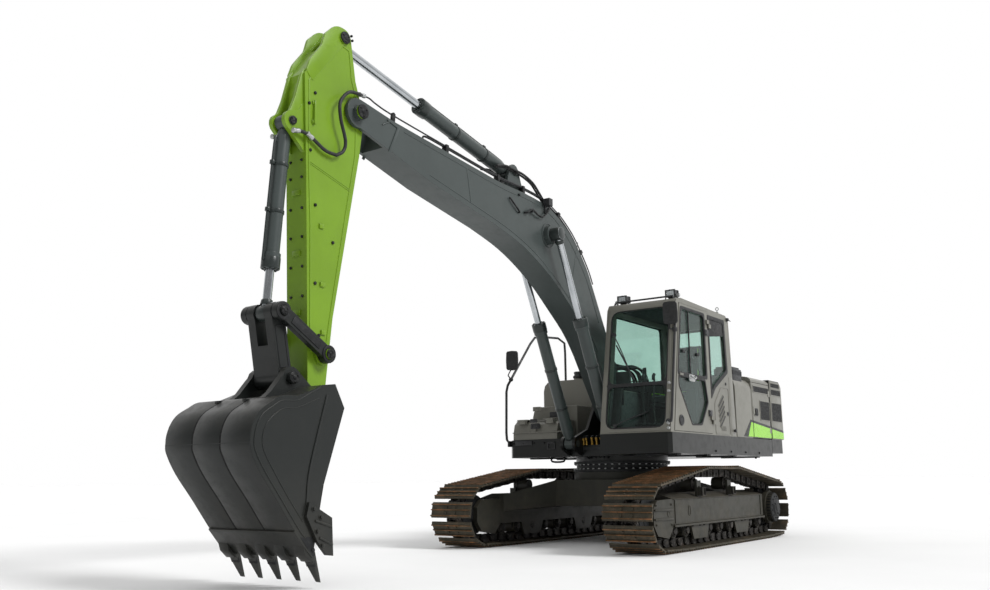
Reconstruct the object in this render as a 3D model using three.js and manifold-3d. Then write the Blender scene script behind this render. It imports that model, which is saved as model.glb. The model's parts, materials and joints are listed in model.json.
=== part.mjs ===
// Crawler excavator, about 21.5 t: a tracked undercarriage carries a swinging upper structure
// with a cab, a two-piece front (boom and arm) and a toothed bucket.
// Frame: millimetres, +X towards the bucket, +Y to the cab side, +Z up. Places are measured from
// the swing centre on the ground; the whole machine is moved to its box's bottom centre at the end.

import * as THREE from 'three';
import { ConvexGeometry } from 'three/addons/geometries/ConvexGeometry.js';
import { mergeVertices } from 'three/addons/utils/BufferGeometryUtils.js';
import Module from 'manifold-3d';

const wasm = await Module();
wasm.setup();

// ---------------------------------------------------------------- driving dimensions
const GAP = 0.3; // seat between two pieces that touch
const RUN = 5; // running clearance between moving pieces

// undercarriage
const GAUGE = 2380; // between the centres of the two tracks
const SHOE_WIDTH = 600;
const SHOE_PITCH = 190;
const CHAIN_WIDTH = 170;
const CHAIN_HEIGHT = 140; // from the rollers' tread to the grouser tips
const SHOE_INNER = 96; // from the rollers' tread to the shoe plates
const GROUSER_HEIGHT = 24;
const WHEELBASE = 3690; // idler centre to sprocket centre
const END_WHEEL_R = 240;
const END_WHEEL_Z = CHAIN_HEIGHT + END_WHEEL_R + 16;
const ROLLER_R = 80;
const ROLLER_COUNT = 9;
const FIRST_ROLLER_X = WHEELBASE / 2 - 555;
const ROLLER_PITCH = (WHEELBASE - 970) / (ROLLER_COUNT - 1);
const CARRIER_R = 75;
const CARRIER_Z = END_WHEEL_Z + END_WHEEL_R + 104;
const CARRIER_X = [575, -400];
const FRAME_INNER_Y = GAUGE / 2 - 150;
const FRAME_OUTER_Y = GAUGE / 2 + 160;
const FRAME_BOTTOM_Z = CHAIN_HEIGHT + ROLLER_R + 50;
const FRAME_TOP_Z = CARRIER_Z - CARRIER_R - 25;
const CARBODY_TOP_Z = 900;
const RING_R = 650; // swing bearing
const RING_BORE_R = 520;
const RING_HEIGHT = 135;

// upper structure
const UPPER_HALF = 1363; // half of its width
const DECK_Z = CARBODY_TOP_Z + RING_HEIGHT + 62; // underside of the platform
const DECK_TOP_Z = DECK_Z + 143;
const SKIRT_TOP_Z = DECK_Z + 239;
const CAB_FRONT_X = 1375;
const CAB_REAR_X = -683;
const CAB_TOP_Z = 2970;
const CAB_INNER_Y = 440;
const CAB_WALL = 50;
const CAB_LEAN = 0.1836; // how far the cab's front leans back for each millimetre of height
const TAIL_RADIUS = 2900;
const HOOD_BASE_Z = 2120;
const BAY_FRONT_X = -1320; // front of the two side doors
const TAIL_FRONT_X = -2060; // front of the counterweight
const PUMP_BAY_FRONT_X = -1540; // front of the right-hand pump door
const PANEL = 50; // thickness of a service door

// front: pins as [x, z]
const BOOM_FOOT = [225, 1705];
const BOOM_TIP = [5355, 4195];
const BOOM_CYLINDER_FOOT = [820, 1260];
const BOOM_CYLINDER_HEAD = [2030, 3710];
const ARM_CYLINDER_FOOT = [2650, 4360];
const ARM_CYLINDER_HEAD = [5520, 4895];
const BUCKET_CYLINDER_FOOT = [6100, 3900];
const LINK_TOP = [6225, 2190];
const GUIDE_LINK_FOOT = [5700, 1885];
const BUCKET_PIN = [5750, 1372];
const BUCKET_LINK_PIN = [6115, 1650];

const ARM_HALF = 122; // half widths
const FORK_INNER = ARM_HALF + 13;
const BOOM_HALF = FORK_INNER + 35;
const BUCKET_HALF = 500;
const BUCKET_PLATE = 30;
const SLIM_EYE_HALF = 50; // rod eyes that sit in a fork
const FORK_HALF = SLIM_EYE_HALF + 10;
const BARREL_SIDES = 16;
const HINGE_SIDES = 24; // pins that turn in a hole
const FORK_OUTER_HALF = FORK_HALF + 40;
const BOOM_EAR_INNER = BOOM_HALF + 20;
const BOOM_EAR_OUTER = BOOM_EAR_INNER + 45;
const BOOM_EYE_HALF = 60;
const BOOM_CYLINDER_Y = BOOM_EAR_OUTER + BOOM_EYE_HALF + RUN;
const LINK_HALF = ARM_HALF + 26;
const EAR_INNER = LINK_HALF + 8;
const EAR_OUTER = EAR_INNER + 60;
const BUCKET_TOOTH_PITCH = 230;

// ---------------------------------------------------------------- finishes
function finish(color, roughness, metalness) {
  return new THREE.MeshStandardMaterial({ color, roughness, metalness });
}
const PAINT_GREEN = [0x86b817, 0.42, 0.1];
const PAINT_DARK = [0x34383a, 0.45, 0.2];
const PAINT_TAUPE = [0x98958c, 0.45, 0.1];
const CAST_BLACK = [0x26292b, 0.55, 0.3];
const TRACK_STEEL = [0x4a4039, 0.75, 0.6];
const CHROME = [0xc9cdd0, 0.15, 1];
const GLASS = [0x5d8f8c, 0.05, 0];
const TRIM_BLACK = [0x17191a, 0.6, 0];
const CLOTH = [0x2b2d30, 0.95, 0];

// ---------------------------------------------------------------- making solids
function toSolid(geometry) {
  geometry.deleteAttribute('normal');
  geometry.deleteAttribute('uv');
  const merged = mergeVertices(geometry, 1e-3);
  const vertProperties = new Float32Array(merged.attributes.position.array);
  const triVerts = new Uint32Array(merged.index.array);
  const solid = new wasm.Manifold(new wasm.Mesh({ numProp: 3, vertProperties, triVerts }));
  if (solid.volume() > 0) return solid;
  return new wasm.Manifold(new wasm.Mesh({ numProp: 3, vertProperties, triVerts: triVerts.reverse() }));
}

function toGeometry(solid) {
  const mesh = solid.getMesh();
  const geometry = new THREE.BufferGeometry();
  geometry.setAttribute('position', new THREE.BufferAttribute(new Float32Array(mesh.vertProperties), 3));
  geometry.setIndex(new THREE.BufferAttribute(new Uint32Array(mesh.triVerts), 1));
  geometry.computeVertexNormals();
  return geometry;
}

function mesh(name, solid, look) {
  const made = new THREE.Mesh(toGeometry(solid), finish(...look));
  made.name = name;
  return made;
}

const join = (first, ...rest) => rest.reduce((sum, piece) => sum.add(piece), first);
const cut = (first, ...rest) => rest.reduce((left, piece) => left.subtract(piece), first);
const shapeOf = (points) => new THREE.Shape(points.map(([a, b]) => new THREE.Vector2(a, b)));

function extrude(shape, depth, segments = 6) {
  return new THREE.ExtrudeGeometry(shape, { depth, bevelEnabled: false, steps: 1, curveSegments: segments });
}

// a side outline of [x, z] points, or a Shape, as a plate from y0 to y1
function sidePlate(outline, y0, y1, segments) {
  const shape = Array.isArray(outline) ? shapeOf(outline) : outline;
  const geometry = extrude(shape, y1 - y0, segments);
  geometry.rotateX(Math.PI / 2);
  geometry.translate(0, y1, 0);
  return toSolid(geometry);
}

// a plan outline of [x, y] points, or a Shape, from z0 to z1
function slab(outline, z0, z1, segments) {
  const shape = Array.isArray(outline) ? shapeOf(outline) : outline;
  const geometry = extrude(shape, z1 - z0, segments);
  geometry.translate(0, 0, z0);
  return toSolid(geometry);
}

// a front outline of [y, z] points from x0 to x1
function frontPlate(outline, x0, x1) {
  const geometry = extrude(shapeOf(outline), x1 - x0);
  const [X, Y, Z] = [new THREE.Vector3(1, 0, 0), new THREE.Vector3(0, 1, 0), new THREE.Vector3(0, 0, 1)];
  geometry.applyMatrix4(new THREE.Matrix4().makeBasis(Y, Z, X));
  geometry.translate(x0, 0, 0);
  return toSolid(geometry);
}

function block(x0, x1, y0, y1, z0, z1) {
  const geometry = new THREE.BoxGeometry(x1 - x0, y1 - y0, z1 - z0);
  geometry.translate((x0 + x1) / 2, (y0 + y1) / 2, (z0 + z1) / 2);
  return toSolid(geometry);
}

// a cylinder across the machine, round [x, z], from y0 to y1
function pin([x, z], radius, y0, y1, sides = 14) {
  const geometry = new THREE.CylinderGeometry(radius, radius, y1 - y0, sides);
  geometry.translate(x, (y0 + y1) / 2, z);
  return toSolid(geometry);
}

// a round hole to cut, whose flats lie outside its radius
function hole(at, radius, y0, y1, sides = HINGE_SIDES) {
  return pin(at, radius / Math.cos(Math.PI / sides), y0, y1, sides);
}

// an upright cylinder
function post(x, y, radius, z0, z1, sides = 16) {
  const geometry = new THREE.CylinderGeometry(radius, radius, z1 - z0, sides);
  geometry.rotateX(Math.PI / 2);
  geometry.translate(x, y, (z0 + z1) / 2);
  return toSolid(geometry);
}

// a turned piece along +X from a closed [radius, x] profile
function turned(profile, sides = 20) {
  const geometry = new THREE.LatheGeometry(profile.map(([r, x]) => new THREE.Vector2(r, x)), sides);
  geometry.rotateZ(-Math.PI / 2);
  return toSolid(geometry);
}

// an upright turned piece from a closed [radius, z] profile
function turnedUp(profile, sides = 36) {
  const geometry = new THREE.LatheGeometry(profile.map(([r, z]) => new THREE.Vector2(r, z)), sides);
  geometry.rotateX(Math.PI / 2);
  return toSolid(geometry);
}

function tube(points, radius, sides = 8, steps = 24) {
  const places = points.map((p) => new THREE.Vector3(...p));
  const path = new THREE.CatmullRomCurve3(places, false, 'catmullrom', 0.15);
  const section = new THREE.Shape();
  for (let i = 0; i < sides; i += 1) {
    const angle = (i * 2 * Math.PI) / sides;
    const [a, b] = [radius * Math.cos(angle), radius * Math.sin(angle)];
    if (i === 0) section.moveTo(a, b);
    else section.lineTo(a, b);
  }
  return toSolid(new THREE.ExtrudeGeometry(section, { steps, extrudePath: path, bevelEnabled: false }));
}

const hull = (points) => toSolid(new ConvexGeometry(points.map((p) => new THREE.Vector3(...p))));

const mirrored = (solid) => solid.mirror([0, 1, 0]);
const bothSides = (solid) => join(solid, mirrored(solid));

// where a line from a to b runs: its length and its turn about Y from +X
function reach(a, b) {
  const [dx, dz] = [b[0] - a[0], b[1] - a[1]];
  return { length: Math.hypot(dx, dz), turn: -Math.atan2(dz, dx) };
}

// ---------------------------------------------------------------- tracks
const IDLER = [WHEELBASE / 2, END_WHEEL_Z];
const SPROCKET = [-WHEELBASE / 2, END_WHEEL_Z];
const ROLLER_Z = CHAIN_HEIGHT + ROLLER_R + GAP;
const rollerX = (i) => FIRST_ROLLER_X - i * ROLLER_PITCH;

// what the track runs round, anticlockwise from the front bottom roller: [x, z, radius]
const TRACK_GUIDES = [
  [rollerX(0), ROLLER_Z, ROLLER_R + GAP],
  [...IDLER, END_WHEEL_R],
  [CARRIER_X[0], CARRIER_Z, CARRIER_R],
  [CARRIER_X[1], CARRIER_Z, CARRIER_R],
  [...SPROCKET, END_WHEEL_R],
  [rollerX(ROLLER_COUNT - 1), ROLLER_Z, ROLLER_R + GAP],
];

// the belt round the guides at a distance off them, as arcs and outer tangents
function trackBelt(offset, arcStep) {
  const points = [];
  const angles = TRACK_GUIDES.map((guide, i) => {
    const next = TRACK_GUIDES[(i + 1) % TRACK_GUIDES.length];
    const [dx, dz] = [next[0] - guide[0], next[1] - guide[1]];
    const lean = Math.asin((guide[2] - next[2]) / Math.hypot(dx, dz));
    return Math.atan2(dz, dx) - Math.PI / 2 + lean;
  });
  TRACK_GUIDES.forEach(([x, z, r], i) => {
    const start = angles[(i + angles.length - 1) % angles.length];
    const sweep = THREE.MathUtils.euclideanModulo(angles[i] - start, 2 * Math.PI);
    const steps = Math.max(1, Math.ceil(sweep / arcStep));
    const half = sweep / steps / 2;
    const radius = r + offset;
    const push = (angle, away) => points.push([x + away * Math.cos(angle), z + away * Math.sin(angle)]);
    push(start, radius);
    for (let k = 0; k < steps; k += 1) {
      push(start + (2 * k + 1) * half, radius / Math.cos(half)); // its flats touch the guide's circle
    }
    push(start + sweep, radius);
  });
  return points;
}

// points along a closed belt at [distance, offset outwards] pairs
function alongBelt(belt, marks) {
  const made = [];
  let [index, walked] = [0, 0];
  const leg = (i) => {
    const [a, b] = [belt[i], belt[(i + 1) % belt.length]];
    return { a, dx: b[0] - a[0], dz: b[1] - a[1], length: Math.hypot(b[0] - a[0], b[1] - a[1]) };
  };
  marks.forEach(([distance, offset]) => {
    while (index < belt.length - 1 && walked + leg(index).length < distance) {
      walked += leg(index).length;
      index += 1;
    }
    const { a, dx, dz, length } = leg(index);
    const t = (distance - walked) / length;
    made.push([a[0] + dx * t + (dz / length) * offset, a[1] + dz * t - (dx / length) * offset]);
  });
  return made;
}

function beltLength(belt) {
  return belt.reduce((sum, a, i) => {
    const b = belt[(i + 1) % belt.length];
    return sum + Math.hypot(b[0] - a[0], b[1] - a[1]);
  }, 0);
}

function trackSolid() {
  const belt = trackBelt(SHOE_INNER, 0.12);
  const length = beltLength(belt);
  const shoes = Math.round(length / SHOE_PITCH);
  const pitch = length / shoes;
  const plate = CHAIN_HEIGHT - SHOE_INNER - GROUSER_HEIGHT;
  const marks = [];
  for (let i = 0; i < shoes; i += 1) {
    marks.push([(i + 0.04) * pitch, plate], [(i + 0.1) * pitch, plate + GROUSER_HEIGHT]);
    marks.push([(i + 0.9) * pitch, plate + GROUSER_HEIGHT], [(i + 0.96) * pitch, plate]);
  }
  const ring = (outer, inner, half) => cut(
    sidePlate(outer, -half, half),
    sidePlate(inner, -half - 1, half + 1),
  );
  const shoeRing = ring(alongBelt(belt, marks), trackBelt(SHOE_INNER, 0.3), SHOE_WIDTH / 2);
  const chain = ring(trackBelt(SHOE_INNER + 8, 0.3), trackBelt(0, 0.1), CHAIN_WIDTH / 2);
  return join(shoeRing, chain).translate([0, GAUGE / 2, 0]);
}

const idlerSolid = () => join(
  pin(IDLER, END_WHEEL_R - GAP, GAUGE / 2 - CHAIN_WIDTH / 2, GAUGE / 2 + CHAIN_WIDTH / 2, 32),
  pin(IDLER, 85, GAUGE / 2 - 100 + GAP, GAUGE / 2 + 100 - GAP),
);

const FINAL_DRIVE_R = 180;
const sprocketSolid = () => cut(
  pin(SPROCKET, END_WHEEL_R - GAP, GAUGE / 2 - 35, GAUGE / 2 + 35, 32),
  hole(SPROCKET, FINAL_DRIVE_R + GAP, GAUGE / 2 - 40, GAUGE / 2 + 40, 32),
);

function trackFrameSolid() {
  const [inner, outer, bottom, top] = [FRAME_INNER_Y, FRAME_OUTER_Y, FRAME_BOTTOM_Z, FRAME_TOP_Z];
  const [rear, front] = [SPROCKET[0] + 315, IDLER[0] - 455];
  const section = [[inner, bottom], [outer + 25, bottom], [outer + 25, bottom + 22], [outer, bottom + 22],
    [outer, top - 60], [outer - 190, top], [inner, top]];
  const parts = [frontPlate(section, rear, front)];
  for (let i = 0; i < ROLLER_COUNT; i += 1) {
    parts.push(pin([rollerX(i), ROLLER_Z], ROLLER_R, GAUGE / 2 - 115, GAUGE / 2 + 115, 10));
  }
  [2, 6].forEach((i) => {
    const guard = [[rollerX(i) - 270, bottom + 10], [rollerX(i) - 200, 110], [rollerX(i) + 200, 110],
      [rollerX(i) + 270, bottom + 10]];
    parts.push(sidePlate(guard, outer - 35, outer - 10));
    parts.push(sidePlate(guard, inner + 10, inner + 35));
  });
  CARRIER_X.forEach((x) => {
    parts.push(pin([x, CARRIER_Z], CARRIER_R - GAP, GAUGE / 2 - 80, GAUGE / 2 + 80, 12));
    parts.push(pin([x, CARRIER_Z], 30, GAUGE / 2, outer - 20, 12));
    parts.push(block(x - 60, x + 60, outer - 50, outer - 20, top - 80, CARRIER_Z + 40));
    parts.push(block(x - 50, x + 50, outer - 40, outer + 30, top - 40, top + 60));
  });
  const yoke = [[front - 10, bottom], [front - 10, top - 60], [IDLER[0] - 60, top - 70],
    [IDLER[0] + 35, top - 160], [IDLER[0] + 35, 300], [IDLER[0] - 60, 190], [front + 120, 150]];
  parts.push(sidePlate(yoke, outer - 60, outer));
  parts.push(sidePlate(yoke, inner - 10, inner + 50));
  const drivePlate = [[rear + 10, bottom], [rear + 10, top - 20], [SPROCKET[0], END_WHEEL_Z + 225],
    [SPROCKET[0] - 150, END_WHEEL_Z + 150], [SPROCKET[0] - 150, END_WHEEL_Z - 150],
    [SPROCKET[0], END_WHEEL_Z - 225]];
  parts.push(sidePlate(drivePlate, inner, inner + 50));
  parts.push(pin(SPROCKET, FINAL_DRIVE_R, inner - 20, outer - 20, 32));
  parts.push(pin(SPROCKET, FINAL_DRIVE_R + 45, outer - 60, outer, 32));
  parts.push(pin(SPROCKET, 197, outer, outer + 65, 32));
  return join(...parts);
}

// ---------------------------------------------------------------- carbody
function carbodySolid() {
  const [halfX, halfY, bottom, top] = [720, 620, 470, 800];
  const legAt = (sign) => hull([
    [sign * 300, halfY - 20, bottom], [sign * halfX, halfY - 20, bottom],
    [sign * 300, halfY - 20, top], [sign * halfX, halfY - 20, top],
    [sign * 780, FRAME_INNER_Y - GAP, 420], [sign * 1300, FRAME_INNER_Y - GAP, 420],
    [sign * 780, FRAME_INNER_Y - GAP, 620], [sign * 1300, FRAME_INNER_Y - GAP, 620],
  ]);
  const body = block(-halfX, halfX, -halfY, halfY, bottom, top);
  const turret = post(0, 0, RING_R - 10, top - 10, CARBODY_TOP_Z, 32);
  return cut(
    join(body, turret, bothSides(legAt(1)), bothSides(legAt(-1))),
    post(0, 0, RING_BORE_R, 600, CARBODY_TOP_Z + 10, 32),
  );
}

const ringProfile = (r0, r1, z0, z1) => [[r0, z0], [r1, z0], [r1, z1], [r0, z1], [r0, z0]];
const swingBearingSolid = () => turnedUp(
  ringProfile(RING_BORE_R, RING_R, CARBODY_TOP_Z + GAP, CARBODY_TOP_Z + RING_HEIGHT),
  32,
);

// ---------------------------------------------------------------- swing platform
const REAR_DECK_X = -2050;
const RIGHT_FRONT_X = 680;
const CENTRE_FRONT_X = 700;
const TAIL_TONGUE_X = -2400;
const FOOT_EAR_R = 96;

function arcAbout([x, z], radius, fromDeg, toDeg, steps) {
  const points = [];
  for (let i = 0; i <= steps; i += 1) {
    const angle = THREE.MathUtils.degToRad(fromDeg + ((toDeg - fromDeg) * i) / steps);
    points.push([x + radius * Math.cos(angle), z + radius * Math.sin(angle)]);
  }
  return points;
}

function platformSolid() {
  const foot = BOOM_CYLINDER_FOOT;
  const eyeOuter = BOOM_CYLINDER_Y + BOOM_EYE_HALF;
  const mainEar = [[-640, DECK_TOP_Z - 5], [-420, 1440], ...arcAbout(BOOM_FOOT, 165, 140, 0, 6),
    [560, 1450], ...arcAbout(foot, FOOT_EAR_R, 80, -60, 5), [CENTRE_FRONT_X - 20, DECK_Z + 3]];
  const footEar = [[CENTRE_FRONT_X - 20, DECK_Z + 3], [CENTRE_FRONT_X - 20, DECK_TOP_Z + 40],
    ...arcAbout(foot, FOOT_EAR_R, 130, -60, 6)];
  const ringFoot = CARBODY_TOP_Z + RING_HEIGHT + GAP;
  const ring = turnedUp(ringProfile(RING_BORE_R, RING_R - 40, ringFoot, DECK_Z + 10), 32);
  const deck = [[TAIL_TONGUE_X, -CAB_INNER_Y], [CENTRE_FRONT_X, -CAB_INNER_Y], [CENTRE_FRONT_X, CAB_INNER_Y],
    [TAIL_TONGUE_X, CAB_INNER_Y]];
  const leftWing = [[REAR_DECK_X, CAB_INNER_Y - 5], [CAB_FRONT_X, CAB_INNER_Y - 5],
    [CAB_FRONT_X, UPPER_HALF - 40], [CAB_FRONT_X - 40, UPPER_HALF], [REAR_DECK_X, UPPER_HALF]];
  const rightWing = [[REAR_DECK_X, -UPPER_HALF], [RIGHT_FRONT_X - 60, -UPPER_HALF],
    [RIGHT_FRONT_X, -UPPER_HALF + 60], [RIGHT_FRONT_X, 5 - CAB_INNER_Y], [REAR_DECK_X, 5 - CAB_INNER_Y]];
  const raised = join(
    slab(deck, DECK_Z, DECK_TOP_Z),
    slab(leftWing, DECK_Z, SKIRT_TOP_Z),
    slab(rightWing, DECK_Z, SKIRT_TOP_Z),
    ring,
    bothSides(sidePlate(mainEar, BOOM_EAR_INNER, BOOM_EAR_OUTER - 5)),
    bothSides(sidePlate(footEar, eyeOuter + RUN, eyeOuter + 45)),
  );
  const eyeRoom = pin(foot, 105, BOOM_EAR_OUTER - 5, BOOM_CYLINDER_Y + BOOM_EYE_HALF + RUN, 16);
  return cut(
    raised,
    hole(BOOM_FOOT, 60 + GAP, -300, 300),
    hole(foot, 45 + GAP, -450, 450),
    bothSides(eyeRoom),
  );
}

// ---------------------------------------------------------------- cab
const cabFrontX = (z, inset = 0) => CAB_FRONT_X - CAB_LEAN * (z - SKIRT_TOP_Z) - inset;
const CAB_FLOOR_Z = SKIRT_TOP_Z + GAP;
const CAB_OUTER_Y = UPPER_HALF;

function cabOutline(inset) {
  const floor = CAB_FLOOR_Z + inset;
  const roof = CAB_TOP_Z - inset;
  const rearLean = 0.05;
  const rear = (z) => CAB_REAR_X + rearLean * (z - SKIRT_TOP_Z) + inset;
  return [
    [cabFrontX(floor, inset), floor], [cabFrontX(roof - 90, inset), roof - 90],
    [cabFrontX(roof, inset + 35), roof - 20], [cabFrontX(roof, inset + 150), roof],
    [rear(roof) + 90, roof - 30], [rear(roof), roof - 110], [rear(floor), floor],
  ];
}

const DOOR_REAR_X = 146;
const DOOR_BOTTOM_Z = 1356;
const DOOR_TOP_Z = CAB_TOP_Z - 70;
const DOOR_WINDOW_TOP_Z = DOOR_TOP_Z - 60;
const SIDE_WINDOW_TOP_Z = CAB_TOP_Z - 140;
const doorOutline = (grow) => [
  [DOOR_REAR_X - grow, DOOR_BOTTOM_Z - grow],
  [cabFrontX(DOOR_BOTTOM_Z, 100 - grow), DOOR_BOTTOM_Z - grow],
  [cabFrontX(DOOR_TOP_Z, 100 - grow), DOOR_TOP_Z + grow],
  [DOOR_REAR_X - grow, DOOR_TOP_Z + grow],
];
const doorUpperWindow = (shrink) => [
  [DOOR_REAR_X + 110 + shrink, 2050 + shrink], [cabFrontX(2050, 150 + shrink), 2050 + shrink],
  [cabFrontX(DOOR_WINDOW_TOP_Z, 150 + shrink), DOOR_WINDOW_TOP_Z - shrink],
  [DOOR_REAR_X + 110 + shrink, DOOR_WINDOW_TOP_Z - shrink],
];
const doorLowerWindow = (shrink) => [
  [310 + shrink, 2005 - shrink], [245 + shrink, 1735], [470 + shrink / 2, 1455 + shrink],
  [760 - shrink / 2, 1445 + shrink], [1095 - shrink, 1890], [1095 - shrink, 2005 - shrink],
];
const quarterWindow = (shrink) => [
  [90 - shrink, 1860 + 2.5 * shrink], [90 - shrink, SIDE_WINDOW_TOP_Z - shrink],
  [-405 + shrink, SIDE_WINDOW_TOP_Z - shrink],
  [-440 + shrink, 2190 + 1.5 * shrink], [0, 1960 + 1.5 * shrink],
];
const rightWindow = (shrink) => [
  [-420 + shrink, 1900 + shrink], [cabFrontX(1900, 170 + shrink), 1900 + shrink],
  [cabFrontX(SIDE_WINDOW_TOP_Z, 170 + shrink), SIDE_WINDOW_TOP_Z - shrink],
  [-420 + shrink, SIDE_WINDOW_TOP_Z - shrink],
];
const WINDSCREEN_Y = [CAB_INNER_Y + 75, CAB_OUTER_Y - 75];
const WINDSCREEN_Z = [1400, 1900, 1930, CAB_TOP_Z - 120];
const REAR_WINDOW_Z = [2150, CAB_TOP_Z - 170];
const GLASS_THICKNESS = 8;

// a prism through the leaning front between two heights, from depth d0 to d1 behind the face
function frontSlice(z0, z1, d0, d1, shrink) {
  const outline = [[cabFrontX(z0 + shrink, d0), z0 + shrink], [cabFrontX(z1 - shrink, d0), z1 - shrink],
    [cabFrontX(z1 - shrink, d1), z1 - shrink], [cabFrontX(z0 + shrink, d1), z0 + shrink]];
  return sidePlate(outline, WINDSCREEN_Y[0] + shrink, WINDSCREEN_Y[1] - shrink);
}

function cabShellSolid() {
  const shell = cut(
    sidePlate(cabOutline(0), CAB_INNER_Y, CAB_OUTER_Y),
    sidePlate(cabOutline(CAB_WALL), CAB_INNER_Y + CAB_WALL, CAB_OUTER_Y - CAB_WALL),
    sidePlate(doorOutline(RUN), CAB_OUTER_Y - CAB_WALL - 10, CAB_OUTER_Y + 10),
    sidePlate(quarterWindow(0), CAB_OUTER_Y - CAB_WALL - 10, CAB_OUTER_Y + 10),
    sidePlate(rightWindow(0), CAB_INNER_Y - 10, CAB_INNER_Y + CAB_WALL + 10),
    frontSlice(WINDSCREEN_Z[0], WINDSCREEN_Z[1], -20, CAB_WALL + 20, 0),
    frontSlice(WINDSCREEN_Z[2], WINDSCREEN_Z[3], -20, CAB_WALL + 20, 0),
    block(CAB_REAR_X - 20, CAB_REAR_X + 180, CAB_INNER_Y + 110, CAB_OUTER_Y - 110, ...REAR_WINDOW_Z),
  );
  const knuckles = HINGE_HEIGHTS.map((z) => join(
    post(HINGE_X, HINGE_Y, HINGE_R, z - HINGE_HALF, z, 12),
    block(HINGE_X - 60, HINGE_X, CAB_OUTER_Y - 2, HINGE_Y + HINGE_R - 4, z - HINGE_HALF, z),
  ));
  return join(shell, ...knuckles);
}

const HINGE_X = DOOR_REAR_X - 6;
const HINGE_Y = CAB_OUTER_Y + 22;
const HINGE_R = 12;
const HINGE_HALF = 50;
const HINGE_HEIGHTS = [1520, DOOR_TOP_Z - 160];
const DOOR_Y = [CAB_OUTER_Y - 45, CAB_OUTER_Y + 6];

function cabDoorSolid() {
  const [y0, y1] = DOOR_Y;
  const leaf = cut(
    sidePlate(doorOutline(0), y0, y1),
    sidePlate(doorUpperWindow(0), y0 - 10, y1 + 10),
    sidePlate(doorLowerWindow(0), y0 - 10, y1 + 10),
  );
  const straps = HINGE_HEIGHTS.map((z) => join(
    post(HINGE_X, HINGE_Y, HINGE_R, z + GAP, z + HINGE_HALF, 12),
    block(HINGE_X, HINGE_X + 60, y1 - 2, HINGE_Y + HINGE_R - 4, z + GAP, z + HINGE_HALF),
  ));
  const handle = block(980, 1080, y1 - 2, y1 + 14, 2012, 2040);
  return join(leaf, handle, ...straps);
}

const pane = (outline, y) => sidePlate(outline, y - GLASS_THICKNESS / 2, y + GLASS_THICKNESS / 2);

const CAB_CENTRE_Y = (CAB_INNER_Y + CAB_OUTER_Y) / 2;
const CAB_INSIDE_Z = CAB_FLOOR_Z + CAB_WALL + GAP;
const SEAT_TOP_Z = 1860;
const BACKREST_TOP_Z = CAB_TOP_Z - 410;

function seatBaseSolid() {
  return join(
    block(-60, 380, CAB_CENTRE_Y - 200, CAB_CENTRE_Y + 200, CAB_INSIDE_Z, 1560),
    block(-20, 340, CAB_CENTRE_Y - 150, CAB_CENTRE_Y + 150, 1555, 1700),
    block(-110, 430, CAB_CENTRE_Y - 235, CAB_CENTRE_Y + 235, 1695, 1740),
  );
}

const cushionOutline = [[-100, 1740 + GAP], [440, 1740 + GAP], [460, SEAT_TOP_Z - 20], [420, SEAT_TOP_Z],
  [-90, SEAT_TOP_Z - 20]];
const backOutline = [[-105, 1740 + GAP], [-95, 1870], [-150, BACKREST_TOP_Z - 20], [-210, BACKREST_TOP_Z],
  [-250, BACKREST_TOP_Z - 20], [-215, 1740 + GAP]];

const consoleSolid = (y) => join(
  block(-60, 420, y - 60, y + 60, CAB_INSIDE_Z, 1900),
  block(-40, 460, y - 50, y + 50, 1895, 1990),
  post(400, y, 16, 1985, 2120, 8),
  post(400, y, 28, 2100, 2190, 10),
);

const travelLeversSolid = () => join(
  block(880, 1040, CAB_CENTRE_Y - 160, CAB_CENTRE_Y + 160, CAB_INSIDE_Z, CAB_INSIDE_Z + 60),
  bothLevers(70),
);

function bothLevers(halfGap) {
  const lever = (y) => tube([[960, y, CAB_INSIDE_Z + 50], [975, y, 1750], [930, y, 2020]], 14, 6, 5);
  const pedal = (y) => block(930, 1110, y - 55, y + 55, CAB_INSIDE_Z + 55, CAB_INSIDE_Z + 75);
  const places = [CAB_CENTRE_Y - halfGap, CAB_CENTRE_Y + halfGap];
  return join(...places.flatMap((y) => [lever(y), pedal(y)]));
}


// ---------------------------------------------------------------- rear of the upper structure
const HOUSING_REAR_X = BAY_FRONT_X + RUN;
const HOUSING_FRONT_X = CAB_REAR_X - 25;
const BODY_TOP_Z = 2150;
const SHOULDER = 70;

// a left-hand housing's front outline, its outer shoulder rounded
function shoulderOutline(y0, y1, z0, z1) {
  return [[y0, z0], [y1, z0], [y1, z1 - SHOULDER * 2], [y1 - SHOULDER * 0.3, z1 - SHOULDER * 0.9],
    [y1 - SHOULDER, z1 - SHOULDER * 0.25], [y1 - SHOULDER * 2, z1], [y0, z1]];
}

const leftHousingSolid = () => frontPlate(
  shoulderOutline(CAB_INNER_Y + 120, UPPER_HALF, SKIRT_TOP_Z + GAP, BODY_TOP_Z),
  HOUSING_REAR_X,
  HOUSING_FRONT_X,
);

const VALVE_HALF_Y = CAB_INNER_Y + 114;
const valveHousingSolid = () => join(
  block(-1240, HOUSING_FRONT_X, 6 - CAB_INNER_Y, CAB_INNER_Y - 6, DECK_TOP_Z + GAP, HOOD_BASE_Z),
  block(-1240, HOUSING_FRONT_X, -VALVE_HALF_Y, VALVE_HALF_Y, SKIRT_TOP_Z + GAP, HOOD_BASE_Z),
);

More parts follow.
